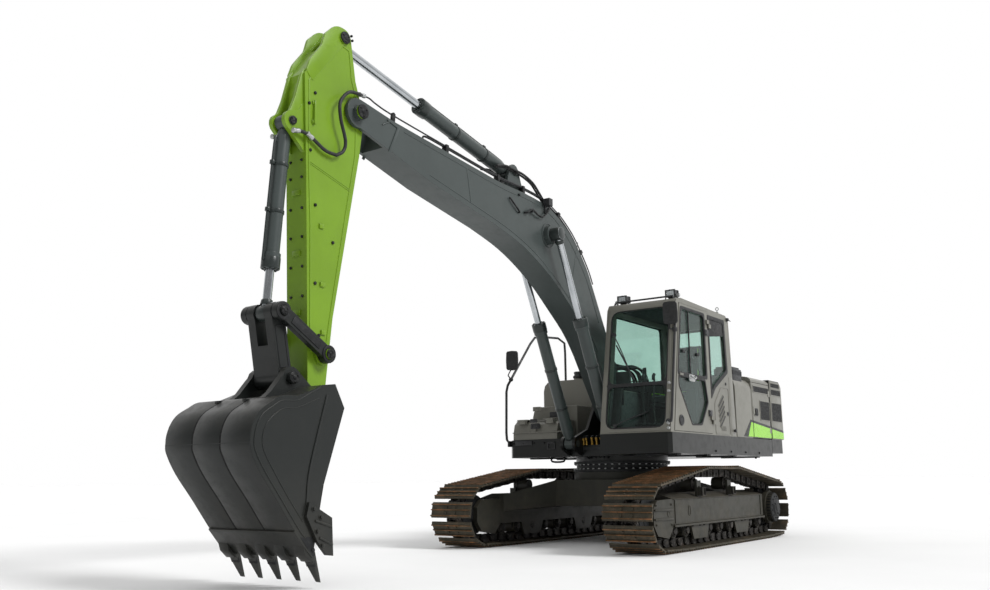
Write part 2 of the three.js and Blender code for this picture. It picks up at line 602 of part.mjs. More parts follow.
const exhaustSolid = () => join(
  post(-1040, 250, 130, HOOD_BASE_Z + GAP, HOOD_BASE_Z + 40, 14),
  post(-1040, 250, 62, HOOD_BASE_Z + 30, HOOD_BASE_Z + 270, 14),
  hull([[-1105, 190, HOOD_BASE_Z + 262], [-975, 190, HOOD_BASE_Z + 262], [-975, 310, HOOD_BASE_Z + 262],
    [-1105, 310, HOOD_BASE_Z + 262], [-1140, 200, HOOD_BASE_Z + 330], [-1140, 300, HOOD_BASE_Z + 330],
    [-1000, 200, HOOD_BASE_Z + 310], [-1000, 300, HOOD_BASE_Z + 310]]),
);

const COUNTERWEIGHT_TOP_Z = 2200;
function counterweightSolid() {
  const half = UPPER_HALF;
  const tongueHalf = CAB_INNER_Y + GAP;
  const sideX = -Math.sqrt(TAIL_RADIUS ** 2 - (half - 60) ** 2);
  const endDeg = THREE.MathUtils.radToDeg(Math.atan2(half - 60, -sideX));
  const plan = [[TAIL_FRONT_X, -half], [TAIL_FRONT_X, half], [sideX + 90, half],
    ...arcAbout([0, 0], TAIL_RADIUS, 180 - endDeg, 180 + endDeg, 14), [sideX + 90, -half]];
  const body = slab(plan, DECK_Z + 50, COUNTERWEIGHT_TOP_Z);
  const top = COUNTERWEIGHT_TOP_Z;
  const roundTop = [[-TAIL_RADIUS - 50, top - 190], [-TAIL_RADIUS + 60, top - 60],
    [-TAIL_RADIUS + 320, top + 20], [-TAIL_RADIUS - 50, top + 20]];
  const roundFoot = [[-TAIL_RADIUS - 50, DECK_Z + 250], [-TAIL_RADIUS + 130, DECK_Z + 30],
    [-TAIL_RADIUS - 50, DECK_Z + 30]];
  return cut(
    body,
    sidePlate(roundTop, -half - 10, half + 10),
    sidePlate(roundFoot, -half - 10, half + 10),
    block(TAIL_TONGUE_X - GAP, TAIL_FRONT_X + 10, -tongueHalf, tongueHalf, DECK_Z, DECK_TOP_Z + GAP),
  );
}

const BAY_REAR_X = TAIL_FRONT_X + RUN;
const DOOR_Z = [SKIRT_TOP_Z + 10, HOOD_BASE_Z - 8];
const SIDE_HINGE_R = 12;
const SIDE_HINGE_X = TAIL_FRONT_X + SIDE_HINGE_R + GAP;

// a service door on the left side: its leaf, its barrel hinge at the rear edge and its latch
function serviceDoorSolid(frontX) {
  const [z0, z1] = DOOR_Z;
  const leaf = block(BAY_REAR_X + 20, frontX, UPPER_HALF - PANEL, UPPER_HALF, z0, z1);
  const latch = block(frontX - 90, frontX - 30, UPPER_HALF - 1, UPPER_HALF + 8, z0 + 330, z0 + 430);
  const barrels = [z0 + 120, z1 - 120].map((z) => join(
    post(SIDE_HINGE_X, UPPER_HALF - 4, SIDE_HINGE_R, z - 40, z + 40, 12),
    block(SIDE_HINGE_X, SIDE_HINGE_X + 60, UPPER_HALF - 6, UPPER_HALF + 8, z - 40, z + 40),
  ));
  return join(leaf, latch, ...barrels);
}

const engineSolid = () => join(
  block(-1860, -1330, -380, 560, SKIRT_TOP_Z + 40, 1980),
  block(-1800, -1400, -300, 400, DECK_TOP_Z + GAP, SKIRT_TOP_Z + 50),
);

const coolerSolid = () => block(BAY_REAR_X + 60, BAY_FRONT_X - 60, 760, 980, SKIRT_TOP_Z + GAP, 2060);

const HOOD_X = [BAY_REAR_X - 2, -1190];
const HOOD_HINGE = [HOOD_X[0] + 14, COUNTERWEIGHT_TOP_Z + 26];
function hoodSolid() {
  const [x0, x1] = HOOD_X;
  const half = UPPER_HALF - 4;
  const rim = HOOD_BASE_Z + GAP;
  const section = [[-half, rim], [half, rim], [half, rim + 30], [half - 40, rim + 66],
    [half - 130, rim + 84], [-half + 130, rim + 84], [-half + 40, rim + 66], [-half, rim + 30]];
  const left = cut(
    frontPlate(section, x0 + 8, HOUSING_REAR_X - 6),
    block(PUMP_BAY_FRONT_X - 18, x1, -half - 10, -VALVE_HALF_Y, rim - 10, rim + 200),
  );
  const middle = block(HOUSING_REAR_X - 20, x1, -VALVE_HALF_Y, VALVE_HALF_Y - 2, rim, rim + 84);
  const well = block(x0 + 60, PUMP_BAY_FRONT_X - 60, -half + 60, half - 60, rim - 5, rim + 40);
  const barrel = (y) => pin(HOOD_HINGE, 14, y - 60, y + 60, 12);
  const lug = (y) => block(HOOD_HINGE[0], HOOD_HINGE[0] + 60, y - 60, y + 60, rim + 60, HOOD_HINGE[1]);
  return join(cut(join(left, middle), well), ...[-600, 600].flatMap((y) => [barrel(y), lug(y)]));
}

const TANK_FRONT_X = -233;
const TANK_SPLIT_X = -1000;
const TANK_TOP_Z = 2210;
const TANK_INNER_Y = CAB_INNER_Y + 120;
const tankSolid = (x0, x1, z1) => mirrored(frontPlate(
  shoulderOutline(TANK_INNER_Y, UPPER_HALF, SKIRT_TOP_Z + GAP, z1),
  x0,
  x1,
));

const fuelTankSolid = () => join(
  tankSolid(TANK_SPLIT_X + GAP, TANK_FRONT_X, TANK_TOP_Z),
  post(-430, -760, 62, TANK_TOP_Z - 2, TANK_TOP_Z + 95, 14),
  post(-430, -760, 70, TANK_TOP_Z + 90, TANK_TOP_Z + 118, 14),
);

const hydraulicTankSolid = () => join(
  tankSolid(PUMP_BAY_FRONT_X, TANK_SPLIT_X, TANK_TOP_Z - 20),
  post(-1270, -900, 110, TANK_TOP_Z - 22, TANK_TOP_Z + 16, 14),
);

const STEP_TOP_Z = 1810;
const stepBoxSolid = () => mirrored(frontPlate(
  shoulderOutline(TANK_INNER_Y + 10, UPPER_HALF - 60, SKIRT_TOP_Z + GAP, STEP_TOP_Z),
  TANK_FRONT_X + GAP,
  170,
));

const TOOLBOX_X = [200, RIGHT_FRONT_X - 12];
const TOOLBOX_Y = [-1300, -600];
const TOOLBOX_SPLIT_Z = 1420;
const TOOLBOX_TOP_Z = 1600;
const TOOLBOX_WALL = 20;
const TOOLBOX_HINGE = [TOOLBOX_X[0] - 4, TOOLBOX_TOP_Z - 12];

function toolboxSolid() {
  const [[x0, x1], [y0, y1], wall] = [TOOLBOX_X, TOOLBOX_Y, TOOLBOX_WALL];
  const foot = SKIRT_TOP_Z + GAP;
  return cut(
    block(x0, x1, y0, y1, foot, TOOLBOX_SPLIT_Z),
    block(x0 + wall, x1 - wall, y0 + wall, y1 - wall, foot + wall, TOOLBOX_SPLIT_Z + 10),
  );
}

function toolboxLidSolid() {
  const [[x0, x1], [y0, y1], wall, top] = [TOOLBOX_X, TOOLBOX_Y, TOOLBOX_WALL, TOOLBOX_TOP_Z];
  const foot = TOOLBOX_SPLIT_Z + GAP;
  const outline = (inset) => [[x0 + inset, foot - inset / 2], [x1 - inset, foot - inset / 2],
    [x1 - 30 - inset, top - 60], [x1 - 110, top - inset], [x0 + inset, top - inset]];
  const lid = cut(sidePlate(outline(0), y0, y1), sidePlate(outline(wall), y0 + wall, y1 - wall));
  const latch = block(x1 - 20, x1 + 8, -1010, -930, foot + 20, foot + 60);
  const barrel = (y) => pin(TOOLBOX_HINGE, 10, y - 40, y + 40, 12);
  return join(lid, latch, barrel(y0 + 150), barrel(y1 - 150));
}

// ---------------------------------------------------------------- rails, mirrors and lamps
const RAIL_R = 17;
const CLAMP = [600, -1375, 2180];
const MIRROR_SIZE = [30, 175, 275];

function mirrorHead([x, y, z], turn) {
  const [depth, width, height] = MIRROR_SIZE;
  const squared = (value, size) => Math.sign(value) * Math.abs(value) ** 0.35 * (size / 2);
  const rounded = shapeOf(arcAbout([0, 0], 1, 0, 360, 12).slice(0, -1)
    .map(([a, b]) => [squared(a, width), squared(b, height)]));
  const geometry = extrude(rounded, depth);
  geometry.rotateX(Math.PI / 2);
  geometry.rotateZ(turn);
  geometry.translate(x, y, z);
  return toSolid(geometry);
}

function rightRailSolid() {
  const outer = CLAMP[1];
  const base = [640, -UPPER_HALF - RAIL_R - GAP, 1290];
  const uprightPath = [base, [640, outer - 40, 1290], [640, outer - 60, 1420], [640, outer - 50, 2050],
    CLAMP];
  const stanchion = tube(uprightPath, RAIL_R, 6, 10);
  const rail = tube([CLAMP, [60, outer + 20, 2800], [-10, outer + 60, 2850], [-430, -1180, 2860],
    [-505, -1150, 2780], [-510, -1150, 2400],
    [-510, -1150, TANK_TOP_Z + GAP]], RAIL_R, 6, 14);
  const foot = block(600, 680, base[1] - 8, base[1] + RAIL_R, 1250, 1330);
  const arm = tube([CLAMP, [570, outer - 70, 2250], [545, outer - 30, 2330]], 9, 6, 4);
  const ball = new THREE.SphereGeometry(32, 8, 6);
  ball.translate(...CLAMP);
  const head = mirrorHead([545, outer - 20, 2455], -Math.PI / 2 + 0.25);
  return join(stanchion, rail, foot, arm, toSolid(ball), head);
}

const cabRailSolid = () => {
  const x = (z) => cabFrontX(z) + 60;
  const y = CAB_OUTER_Y - 20;
  const radius = RAIL_R * 0.8;
  const seat = (z) => [cabFrontX(z) + radius * CAB_LEAN + GAP, y, z];
  const [low, high] = [1560, CAB_TOP_Z - 570];
  return tube([seat(low), [x(low) - 20, y, low], [x(low + 60), y, low + 60], [x(high - 60), y, high - 60],
    [x(high) - 20, y, high], seat(high)], radius, 6, 14);
};

const leftMirrorSolid = () => {
  const z = CAB_TOP_Z - 410;
  const radius = 11;
  const root = [cabFrontX(z) + radius * CAB_LEAN + GAP, CAB_OUTER_Y - 25, z];
  return join(
    tube([root, [root[0] + 80, root[1], z], [root[0] + 100, root[1] + 20, z + 120]], radius, 6, 8),
    mirrorHead([root[0] + 100, root[1] + 25, z + 180], -Math.PI / 2 + 0.2),
  );
};

function workLightSolid([x, y, z]) {
  return join(
    block(x - 30, x + 34, y - 62, y + 62, z + 26, z + 112),
    block(x - 12, x + 12, y - 40, y + 40, z + GAP, z + 30),
  );
}

// ---------------------------------------------------------------- front
const shapeWith = (start, steps) => {
  const shape = new THREE.Shape();
  shape.moveTo(...start);
  steps.forEach((step) => {
    if (Array.isArray(step[0])) shape.splineThru(step.map(([a, b]) => new THREE.Vector2(a, b)));
    else shape.lineTo(...step);
  });
  return shape;
};

function boomSolid() {
  const foot = arcAbout(BOOM_FOOT, 150, -32, -212, 8);
  const tip = arcAbout(BOOM_TIP, 145, 100, -105, 8);
  const outline = shapeWith(foot[8], [
    [740, 2848],
    [[1084, 3415], [1428, 3777], [1767, 3980], [2100, 4085], [2542, 4118]],
    [3054, 4122], [4854, 4270], ...tip,
    [4255, 3798], [3174, 3612],
    [[2679, 3496], [2276, 3346], [1895, 3150], [1521, 2899], [1166, 2640], [922, 2381]],
    ...foot.slice(0, 8),
  ]);
  const body = sidePlate(outline, -BOOM_HALF, BOOM_HALF, 3);
  const bracket = [[2440, 4100], [2560, 4390], ...arcAbout(ARM_CYLINDER_FOOT, 95, 150, 10, 5), [2830, 4110]];
  const bosses = bothSides(join(
    pin(BOOM_CYLINDER_HEAD, 115, BOOM_HALF - 5, BOOM_EAR_OUTER - 5, 14),
    pin(BOOM_FOOT, 60, BOOM_HALF - 5, BOOM_EAR_OUTER + 25, HINGE_SIDES),
    pin(BOOM_TIP, 75, BOOM_HALF - 5, BOOM_HALF + 40, 14),
    sidePlate(bracket, FORK_HALF, FORK_OUTER_HALF),
  ));
  const notch = join(
    pin(BOOM_TIP, 440, -FORK_INNER, FORK_INNER, 32),
    block(BOOM_TIP[0] - 100, BOOM_TIP[0] + 300, -FORK_INNER, FORK_INNER, 3900, 4500),
  );
  return cut(
    join(body, bosses),
    notch,
    hole(BOOM_TIP, 65 + GAP, -300, 300),
    hole(ARM_CYLINDER_FOOT, 40 + GAP, -150, 150),
  );
}

const boomLightSolid = () => {
  const [x, y, z] = [2085, BOOM_HALF + GAP, 4010];
  return join(
    block(x - 25, x + 25, y, y + 12, z - 40, z + 50),
    block(x - 10, x + 70, y + 10, y + 100, z + 40, z + 130),
  );
};

function armSolid() {
  const head = arcAbout(ARM_CYLINDER_HEAD, 95, 25, 165, 6);
  const foot = arcAbout(BUCKET_PIN, 90, 170, 370, 8);
  const outline = [[5852, 1700], [5940, 3470], [5993, 4380], ...head, [5354, 4520], [5300, 4380],
    [5230, 4195], [5284, 3790], [5575, 2220], [5632, 1700], ...foot];
  const earEnd = arcAbout(BUCKET_CYLINDER_FOOT, 90, 60, -60, 5);
  const ears = [[5930, 4180], [6030, 4020], ...earEnd, [5930, 3640]];
  const body = sidePlate(outline, -ARM_HALF, ARM_HALF);
  const fittings = bothSides(join(
    sidePlate(ears, FORK_HALF, FORK_OUTER_HALF),
    pin(GUIDE_LINK_FOOT, 95, ARM_HALF - 5, EAR_INNER - RUN - 2, 14),
    pin(GUIDE_LINK_FOOT, 45, EAR_INNER - RUN - 5, EAR_OUTER + 15, HINGE_SIDES),
    pin(BUCKET_PIN, 80, ARM_HALF - 5, LINK_HALF, 14),
    pin(BUCKET_PIN, 45, LINK_HALF - 5, EAR_OUTER + 12, HINGE_SIDES),
    pin(BOOM_TIP, 65, ARM_HALF - 5, BOOM_HALF + 60, HINGE_SIDES),
    pin(ARM_CYLINDER_HEAD, 62, ARM_HALF - 5, ARM_HALF + 18, 14),
  ));
  const slot = join(
    pin(ARM_CYLINDER_HEAD, 240, -FORK_HALF, FORK_HALF, 28),
    sidePlate([[4900, 4700], [5760, 4700], [6000, 5300], [4900, 5300]], -FORK_HALF, FORK_HALF),
  );
  return cut(join(body, fittings), slot, hole(BUCKET_CYLINDER_FOOT, 40 + GAP, -150, 150));
}

// a cylinder's barrel along +X from its foot pin: eye, closed tube, open gland
function barrelSolid({ length, outer, bore, eye, eyeHalf, pinR, pinHalf }) {
  const wallEnd = eye + 60;
  const boreR = bore / Math.cos(Math.PI / BARREL_SIDES);
  const tubeBody = turned([
    [0, eye * 0.5], [eyeHalf - 5, eye * 1.1], [outer, eye * 1.1 + 90], [outer, length - 140],
    [outer + 12, length - 138], [outer + 12, length], [boreR, length], [boreR, wallEnd], [0, wallEnd],
    [0, eye * 0.5],
  ], BARREL_SIDES);
  return join(
    tubeBody,
    pin([0, 0], eye, -eyeHalf, eyeHalf),
    pin([0, 0], pinR, -pinHalf, pinHalf, HINGE_SIDES),
  );
}

// a cylinder's rod along +X, its eye's centre at the origin and the rod running back from it
function rodSolid({ rodLength, rodR, bore, eye, eyeHalf }) {
  const piston = (bore - GAP) / Math.cos(Math.PI / BARREL_SIDES);
  return join(
    turned([[0, -rodLength], [piston, -rodLength], [piston, 60 - rodLength], [rodR, 60 - rodLength],
      [rodR, 0], [0, 0], [0, -rodLength]], BARREL_SIDES),
    pin([0, 0], eye, -eyeHalf, eyeHalf, 14),
  );
}

function linkPlate(from, to, eyeR, halfWidth, y0, y1) {
  const { length, turn } = reach(from, to);
  const bar = [[0, -halfWidth], [length, -halfWidth], [length, halfWidth], [0, halfWidth]];
  const shape = join(
    sidePlate(bar, y0, y1),
    pin([0, 0], eyeR, y0, y1, 14),
    pin([length, 0], eyeR, y0, y1, 14),
  );
  return shape.rotate([0, THREE.MathUtils.radToDeg(turn), 0]).translate([from[0], 0, from[1]]);
}

// the left guide link; its top pin reaches in through the bucket link's eye
const guideLinkSolid = () => cut(
  join(
    linkPlate(GUIDE_LINK_FOOT, LINK_TOP, 80, 58, EAR_INNER, EAR_OUTER),
    pin(LINK_TOP, 42, FORK_HALF + 2, EAR_OUTER + 14, HINGE_SIDES),
  ),
  hole(GUIDE_LINK_FOOT, 45 + GAP, 0, EAR_OUTER + 40),
);

function bucketLinkSolid() {
  const body = linkPlate(LINK_TOP, BUCKET_LINK_PIN, 82, 70, -LINK_HALF, LINK_HALF);
  const { turn } = reach(LINK_TOP, BUCKET_LINK_PIN);
  const fork = block(-150, 265, -FORK_HALF, FORK_HALF, -200, 200)
    .rotate([0, THREE.MathUtils.radToDeg(turn), 0])
    .translate([LINK_TOP[0], 0, LINK_TOP[1]]);
  return cut(body, fork, hole(LINK_TOP, 42 + GAP, -300, 300));
}

// the bucket's side outline: crest, corner, opening edge, lip and wrapper
const BUCKET_OUTLINE = [[6565, 1411], [6466, 1462], [6301, 1473], [6038, 1578], [5900, 1595], [5790, 1406],
  [6001, 793], [6033, 624], [6097, 252], [6271, 431], [6472, 680], [6636, 874], [6726, 1012], [6759, 1106],
  [6738, 1234], [6675, 1339]];
// the cavity inside it, open towards the machine
const BUCKET_CAVITY = [[6550, 1382], [6460, 1431], [6295, 1442], [6030, 1546], [5907, 1562], [5700, 1480],
  [5700, 700], [6040, 200], [6090, 290], [6250, 452], [6450, 700], [6610, 890], [6699, 1025], [6729, 1110],
  [6710, 1226], [6654, 1318]];

// what the arm's foot and the bucket link need clear between the ears, grown by a wall
function bucketRecess(grow, half) {
  const lean = THREE.MathUtils.degToRad(62);
  const along = (distance, off) => [
    BUCKET_PIN[0] + distance * Math.cos(lean) + off * Math.sin(lean),
    BUCKET_PIN[1] + distance * Math.sin(lean) - off * Math.cos(lean),
  ];
  const side = 125 + grow;
  return join(
    pin(BUCKET_PIN, side, -half, half, 32),
    pin(BUCKET_LINK_PIN, 176 + grow, -half, half, 32),
    sidePlate([along(0, side), along(900, side), along(900, -500), along(0, -500)], -half, half),
  );
}

function bucketSolid() {
  const inner = BUCKET_HALF - BUCKET_PLATE;
  const cavity = cut(
    sidePlate(BUCKET_CAVITY, -inner, inner),
    bucketRecess(BUCKET_PLATE, EAR_OUTER),
  );
  const bowl = cut(
    sidePlate(BUCKET_OUTLINE, -BUCKET_HALF, BUCKET_HALF),
    cavity,
    bucketRecess(0, EAR_INNER - 3),
  );
  const ear = [...arcAbout(BUCKET_PIN, 95, 120, 250, 4), [6000, 1400], [6420, 1450], [6330, 1520],
    [6230, 1640], ...arcAbout(BUCKET_LINK_PIN, 92, 10, 120, 4), [5900, 1600]];
  const ears = bothSides(join(
    cut(sidePlate(ear, EAR_INNER, EAR_OUTER), hole(BUCKET_PIN, 45 + GAP, 0, 300)),
    pin(BUCKET_LINK_PIN, 55, EAR_OUTER - 5, EAR_OUTER + 30, 14),
  ));
  const cutterPlate = [[6175, 662], [5927, 537], [5905, 245], [5972, 254], [6078, 360], [6200, 560]];
  const cutters = bothSides(sidePlate(cutterPlate, BUCKET_HALF - 5, BUCKET_HALF + 28));
  const tooth = (y) => hull([
    [6190, y - 55, 400], [6190, y + 55, 400], [6100, y - 55, 380], [6100, y + 55, 380],
    [6090, y - 50, 225], [6090, y + 50, 225], [6130, y - 50, 290], [6130, y + 50, 290],
    [5966, y - 18, 46], [5966, y + 18, 46], [5985, y - 18, 52], [5985, y + 18, 52],
  ]);
  const teeth = [-2, -1, 0, 1, 2].map((i) => tooth(i * BUCKET_TOOTH_PITCH * 0.96));
  return join(bowl, ears, cutters, ...teeth);
}

// ---------------------------------------------------------------- the machine
const machine = new THREE.Group();
const add = (name, solid, look, group = machine) => {
  const made = mesh(name, solid, look);
  group.add(made);
  return made;
};

function addCylinder(name, foot, head, y, barrel, rod) {
  const { turn } = reach(foot, head);
  const tubePart = add(`${name}_barrel`, barrelSolid(barrel), PAINT_DARK);
  tubePart.position.set(foot[0], y, foot[1]);
  tubePart.rotation.y = turn;
  const rodPart = add(`${name}_rod`, rodSolid(rod), CHROME);
  rodPart.position.set(head[0], y, head[1]);
  rodPart.rotation.y = turn;
}

function addUndercarriage() {
  add('carbody', carbodySolid(), PAINT_DARK);
  add('swing_bearing', swingBearingSolid(), CAST_BLACK);
  const made = [
    ['track', trackSolid(), TRACK_STEEL],
    ['track_frame', trackFrameSolid(), PAINT_DARK],
    ['idler', idlerSolid(), CAST_BLACK],
    ['sprocket', sprocketSolid(), CAST_BLACK],
  ];
  made.forEach(([name, solid, look]) => {
    add(`${name}_left`, solid, look);
    add(`${name}_right`, mirrored(solid), look);
  });
}

function addCab() {
  add('cab_shell', cabShellSolid(), PAINT_TAUPE);
  const depth = [15, 15 + GLASS_THICKNESS];
  add('windscreen_lower', frontSlice(WINDSCREEN_Z[0], WINDSCREEN_Z[1], ...depth, GAP), GLASS);
  add('windscreen_upper', frontSlice(WINDSCREEN_Z[2], WINDSCREEN_Z[3], ...depth, GAP), GLASS);
  add('quarter_window', pane(quarterWindow(GAP), CAB_OUTER_Y - 20), GLASS);
  add('right_window', pane(rightWindow(GAP), CAB_INNER_Y + 20), GLASS);
  const rear = (z) => CAB_REAR_X + 0.05 * (z - SKIRT_TOP_Z) + 20;
  const [low, high] = [REAR_WINDOW_Z[0] + GAP, REAR_WINDOW_Z[1] - GAP];
  const rearPane = [[rear(low), low], [rear(low) + GLASS_THICKNESS, low],
    [rear(high) + GLASS_THICKNESS, high], [rear(high), high]];
  add('rear_window', sidePlate(rearPane, CAB_INNER_Y + 110 + GAP, CAB_OUTER_Y - 110 - GAP), GLASS);
  add('cab_door', cabDoorSolid(), PAINT_TAUPE);
  add('door_window_upper', pane(doorUpperWindow(GAP), CAB_OUTER_Y - 18), GLASS);
  add('door_window_lower', pane(doorLowerWindow(GAP), CAB_OUTER_Y - 18), GLASS);
  add('seat_base', seatBaseSolid(), TRIM_BLACK);
  add('seat_cushion', sidePlate(cushionOutline, CAB_CENTRE_Y - 250, CAB_CENTRE_Y + 250), CLOTH);
  add('seat_backrest', sidePlate(backOutline, CAB_CENTRE_Y - 240, CAB_CENTRE_Y + 240), CLOTH);
  add('console_left', consoleSolid(CAB_CENTRE_Y + 320), TRIM_BLACK);
  add('console_right', consoleSolid(CAB_CENTRE_Y - 320), TRIM_BLACK);
  add('travel_levers', travelLeversSolid(), TRIM_BLACK);
  const lampX = cabFrontX(CAB_TOP_Z) - 180;
  add('work_light_left', workLightSolid([lampX, CAB_OUTER_Y - 130, CAB_TOP_Z]), TRIM_BLACK);
  add('work_light_right', workLightSolid([lampX, CAB_INNER_Y + 130, CAB_TOP_Z]), TRIM_BLACK);
  add('cab_handrail', cabRailSolid(), TRIM_BLACK);
  add('mirror_left', leftMirrorSolid(), TRIM_BLACK);
}

function addUpper() {
  add('swing_platform', platformSolid(), PAINT_DARK);
  addCab();
  add('service_housing_left', leftHousingSolid(), PAINT_TAUPE);
  add('valve_housing', valveHousingSolid(), PAINT_DARK);
  add('exhaust', exhaustSolid(), CAST_BLACK);
  add('counterweight', counterweightSolid(), PAINT_DARK);
  add('engine_block', engineSolid(), CAST_BLACK);
  add('cooler', coolerSolid(), CAST_BLACK);
  add('engine_hood', hoodSolid(), PAINT_TAUPE);
  add('cooler_door_left', serviceDoorSolid(BAY_FRONT_X), PAINT_TAUPE);
  add('pump_door_right', mirrored(serviceDoorSolid(PUMP_BAY_FRONT_X - RUN)), PAINT_TAUPE);
  add('hydraulic_tank', hydraulicTankSolid(), PAINT_TAUPE);
  add('fuel_tank', fuelTankSolid(), PAINT_TAUPE);
  add('step_box', stepBoxSolid(), PAINT_TAUPE);
  add('toolbox', toolboxSolid(), PAINT_TAUPE);
  add('toolbox_lid', toolboxLidSolid(), PAINT_TAUPE);
  add('handrail_mirror_right', rightRailSolid(), TRIM_BLACK);
}

function addFront() {
  add('boom', boomSolid(), PAINT_DARK);
  add('boom_light', boomLightSolid(), TRIM_BLACK);
  add('arm', armSolid(), PAINT_GREEN);
  const wide = { eyeHalf: BOOM_EYE_HALF };
  const slim = { eyeHalf: SLIM_EYE_HALF };
  const boomBarrel = { length: 1650, outer: 75, bore: 60, eye: 72, pinR: 45, pinHalf: 112, ...wide };
  const boomRod = { rodLength: 1180, rodR: 42, bore: boomBarrel.bore, eye: 78, ...wide };
  [['left', BOOM_CYLINDER_Y], ['right', -BOOM_CYLINDER_Y]].forEach(([side, y]) => {
    addCylinder(`boom_cylinder_${side}`, BOOM_CYLINDER_FOOT, BOOM_CYLINDER_HEAD, y, boomBarrel, boomRod);
  });
  const armBarrel = { length: 1670, outer: 78, bore: 62, eye: 75, pinR: 40, pinHalf: 112, ...slim };
  const armRod = { rodLength: 1390, rodR: 45, bore: armBarrel.bore, eye: 75, ...slim };
  addCylinder('arm_cylinder', ARM_CYLINDER_FOOT, ARM_CYLINDER_HEAD, 0, armBarrel, armRod);
  const bucketBarrel = { length: 1335, outer: 66, bore: 52, eye: 70, pinR: 40, pinHalf: 112, ...slim };
  const bucketRod = { rodLength: 1355, rodR: 38, bore: bucketBarrel.bore, eye: 68, ...slim };
  addCylinder('bucket_cylinder', BUCKET_CYLINDER_FOOT, LINK_TOP, 0, bucketBarrel, bucketRod);
  const guideLink = guideLinkSolid();
  add('guide_link_left', guideLink, CAST_BLACK);
  add('guide_link_right', mirrored(guideLink), CAST_BLACK);
  add('bucket_link', bucketLinkSolid(), CAST_BLACK);
  add('bucket', bucketSolid(), CAST_BLACK);
}

addUndercarriage();
addUpper();
addFront();

const excavator = new THREE.Group();
excavator.add(machine);
machine.updateMatrixWorld(true);
const box = new THREE.Box3().setFromObject(machine, true);
machine.position.set(-(box.min.x + box.max.x) / 2, 0, -box.min.z);

export default excavator;
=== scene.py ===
import json
import math

import bmesh
import bpy
from mathutils import Matrix, Vector


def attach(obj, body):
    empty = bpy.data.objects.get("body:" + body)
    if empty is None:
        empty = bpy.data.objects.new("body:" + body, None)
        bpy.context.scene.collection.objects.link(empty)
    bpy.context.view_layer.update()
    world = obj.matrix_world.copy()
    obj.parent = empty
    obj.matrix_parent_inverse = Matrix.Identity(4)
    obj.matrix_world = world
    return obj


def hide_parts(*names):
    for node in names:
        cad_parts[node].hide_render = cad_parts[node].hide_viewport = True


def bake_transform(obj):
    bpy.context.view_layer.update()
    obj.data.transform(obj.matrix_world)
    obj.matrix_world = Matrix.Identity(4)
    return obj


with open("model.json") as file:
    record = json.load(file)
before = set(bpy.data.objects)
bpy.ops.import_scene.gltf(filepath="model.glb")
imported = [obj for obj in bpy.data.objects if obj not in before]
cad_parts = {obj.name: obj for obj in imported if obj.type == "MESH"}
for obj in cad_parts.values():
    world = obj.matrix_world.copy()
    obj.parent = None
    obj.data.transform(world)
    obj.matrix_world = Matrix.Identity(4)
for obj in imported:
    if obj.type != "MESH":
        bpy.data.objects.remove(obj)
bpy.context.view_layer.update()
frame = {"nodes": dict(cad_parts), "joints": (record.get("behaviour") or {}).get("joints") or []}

SWING_X = next(j for j in frame["joints"] if j["name"] == "swing")["pos_m"][0]


def spot(x, y, z):
    """A point in the machine's millimetres, from the swing centre, as row-frame metres."""
    return Vector((SWING_X + x / 1000, y / 1000, z / 1000))


def place(name, data):
    """A new object with this mesh, light or camera in it."""
    obj = bpy.data.objects.new(name, data)
    bpy.context.scene.collection.objects.link(obj)
    return obj


# ---------------------------------------------------------------- camera
CAMERA_AT = (9.4505, 5.959, 0.826)
CAMERA_TURN = (214.689, 11.245, -0.596)   # heading, pitch and roll in degrees
SENSOR_MM, LENS_MM = 36, 33.991
CAMERA_SHIFT = (-0.0076667, -0.0023131)   # shares of the frame's width


def make_camera():
    data = bpy.data.cameras.new("camera")
    camera = place("camera", data)
    yaw, pitch, roll = (math.radians(v) for v in CAMERA_TURN)
    forward = Vector((math.cos(pitch) * math.cos(yaw), math.cos(pitch) * math.sin(yaw), math.sin(pitch)))
    right = forward.cross(Vector((0, 0, 1))).normalized()
    up = right.cross(forward)
    right, up = (right * math.cos(roll) + up * math.sin(roll), up * math.cos(roll) - right * math.sin(roll))
    turn = Matrix((right, up, -forward)).transposed().to_4x4()
    camera.matrix_world = Matrix.Translation(CAMERA_AT) @ turn
    data.sensor_width, data.lens = SENSOR_MM, LENS_MM
    data.shift_x, data.shift_y = CAMERA_SHIFT
    data.clip_start, data.clip_end = 0.05, 300
    bpy.context.scene.camera = camera


make_camera()


# ---------------------------------------------------------------- modifiers that every piece shares
def node_group(name):
    group = bpy.data.node_groups.new(name, "GeometryNodeTree")
    group.interface.new_socket("Geometry", in_out="INPUT", socket_type="NodeSocketGeometry")
    group.interface.new_socket("Geometry", in_out="OUTPUT", socket_type="NodeSocketGeometry")
    return group, group.nodes.new("NodeGroupInput"), group.nodes.new("NodeGroupOutput")


WELD_REACH = 0.00004


def weld_group():
    """Joins the corners that the import split, and drops its normals."""
    group, start, end = node_group("weld")
    merge = group.nodes.new("GeometryNodeMergeByDistance")
    merge.inputs["Distance"].default_value = WELD_REACH
    last = merge.outputs[0]
    group.links.new(start.outputs[0], merge.inputs[0])
    for attribute in ("custom_normal", "sharp_face", "sharp_edge"):
        drop = group.nodes.new("GeometryNodeRemoveAttribute")
        drop.inputs["Name"].default_value = attribute
        group.links.new(last, drop.inputs[0])
        last = drop.outputs[0]
    group.links.new(last, end.inputs[0])
    return group


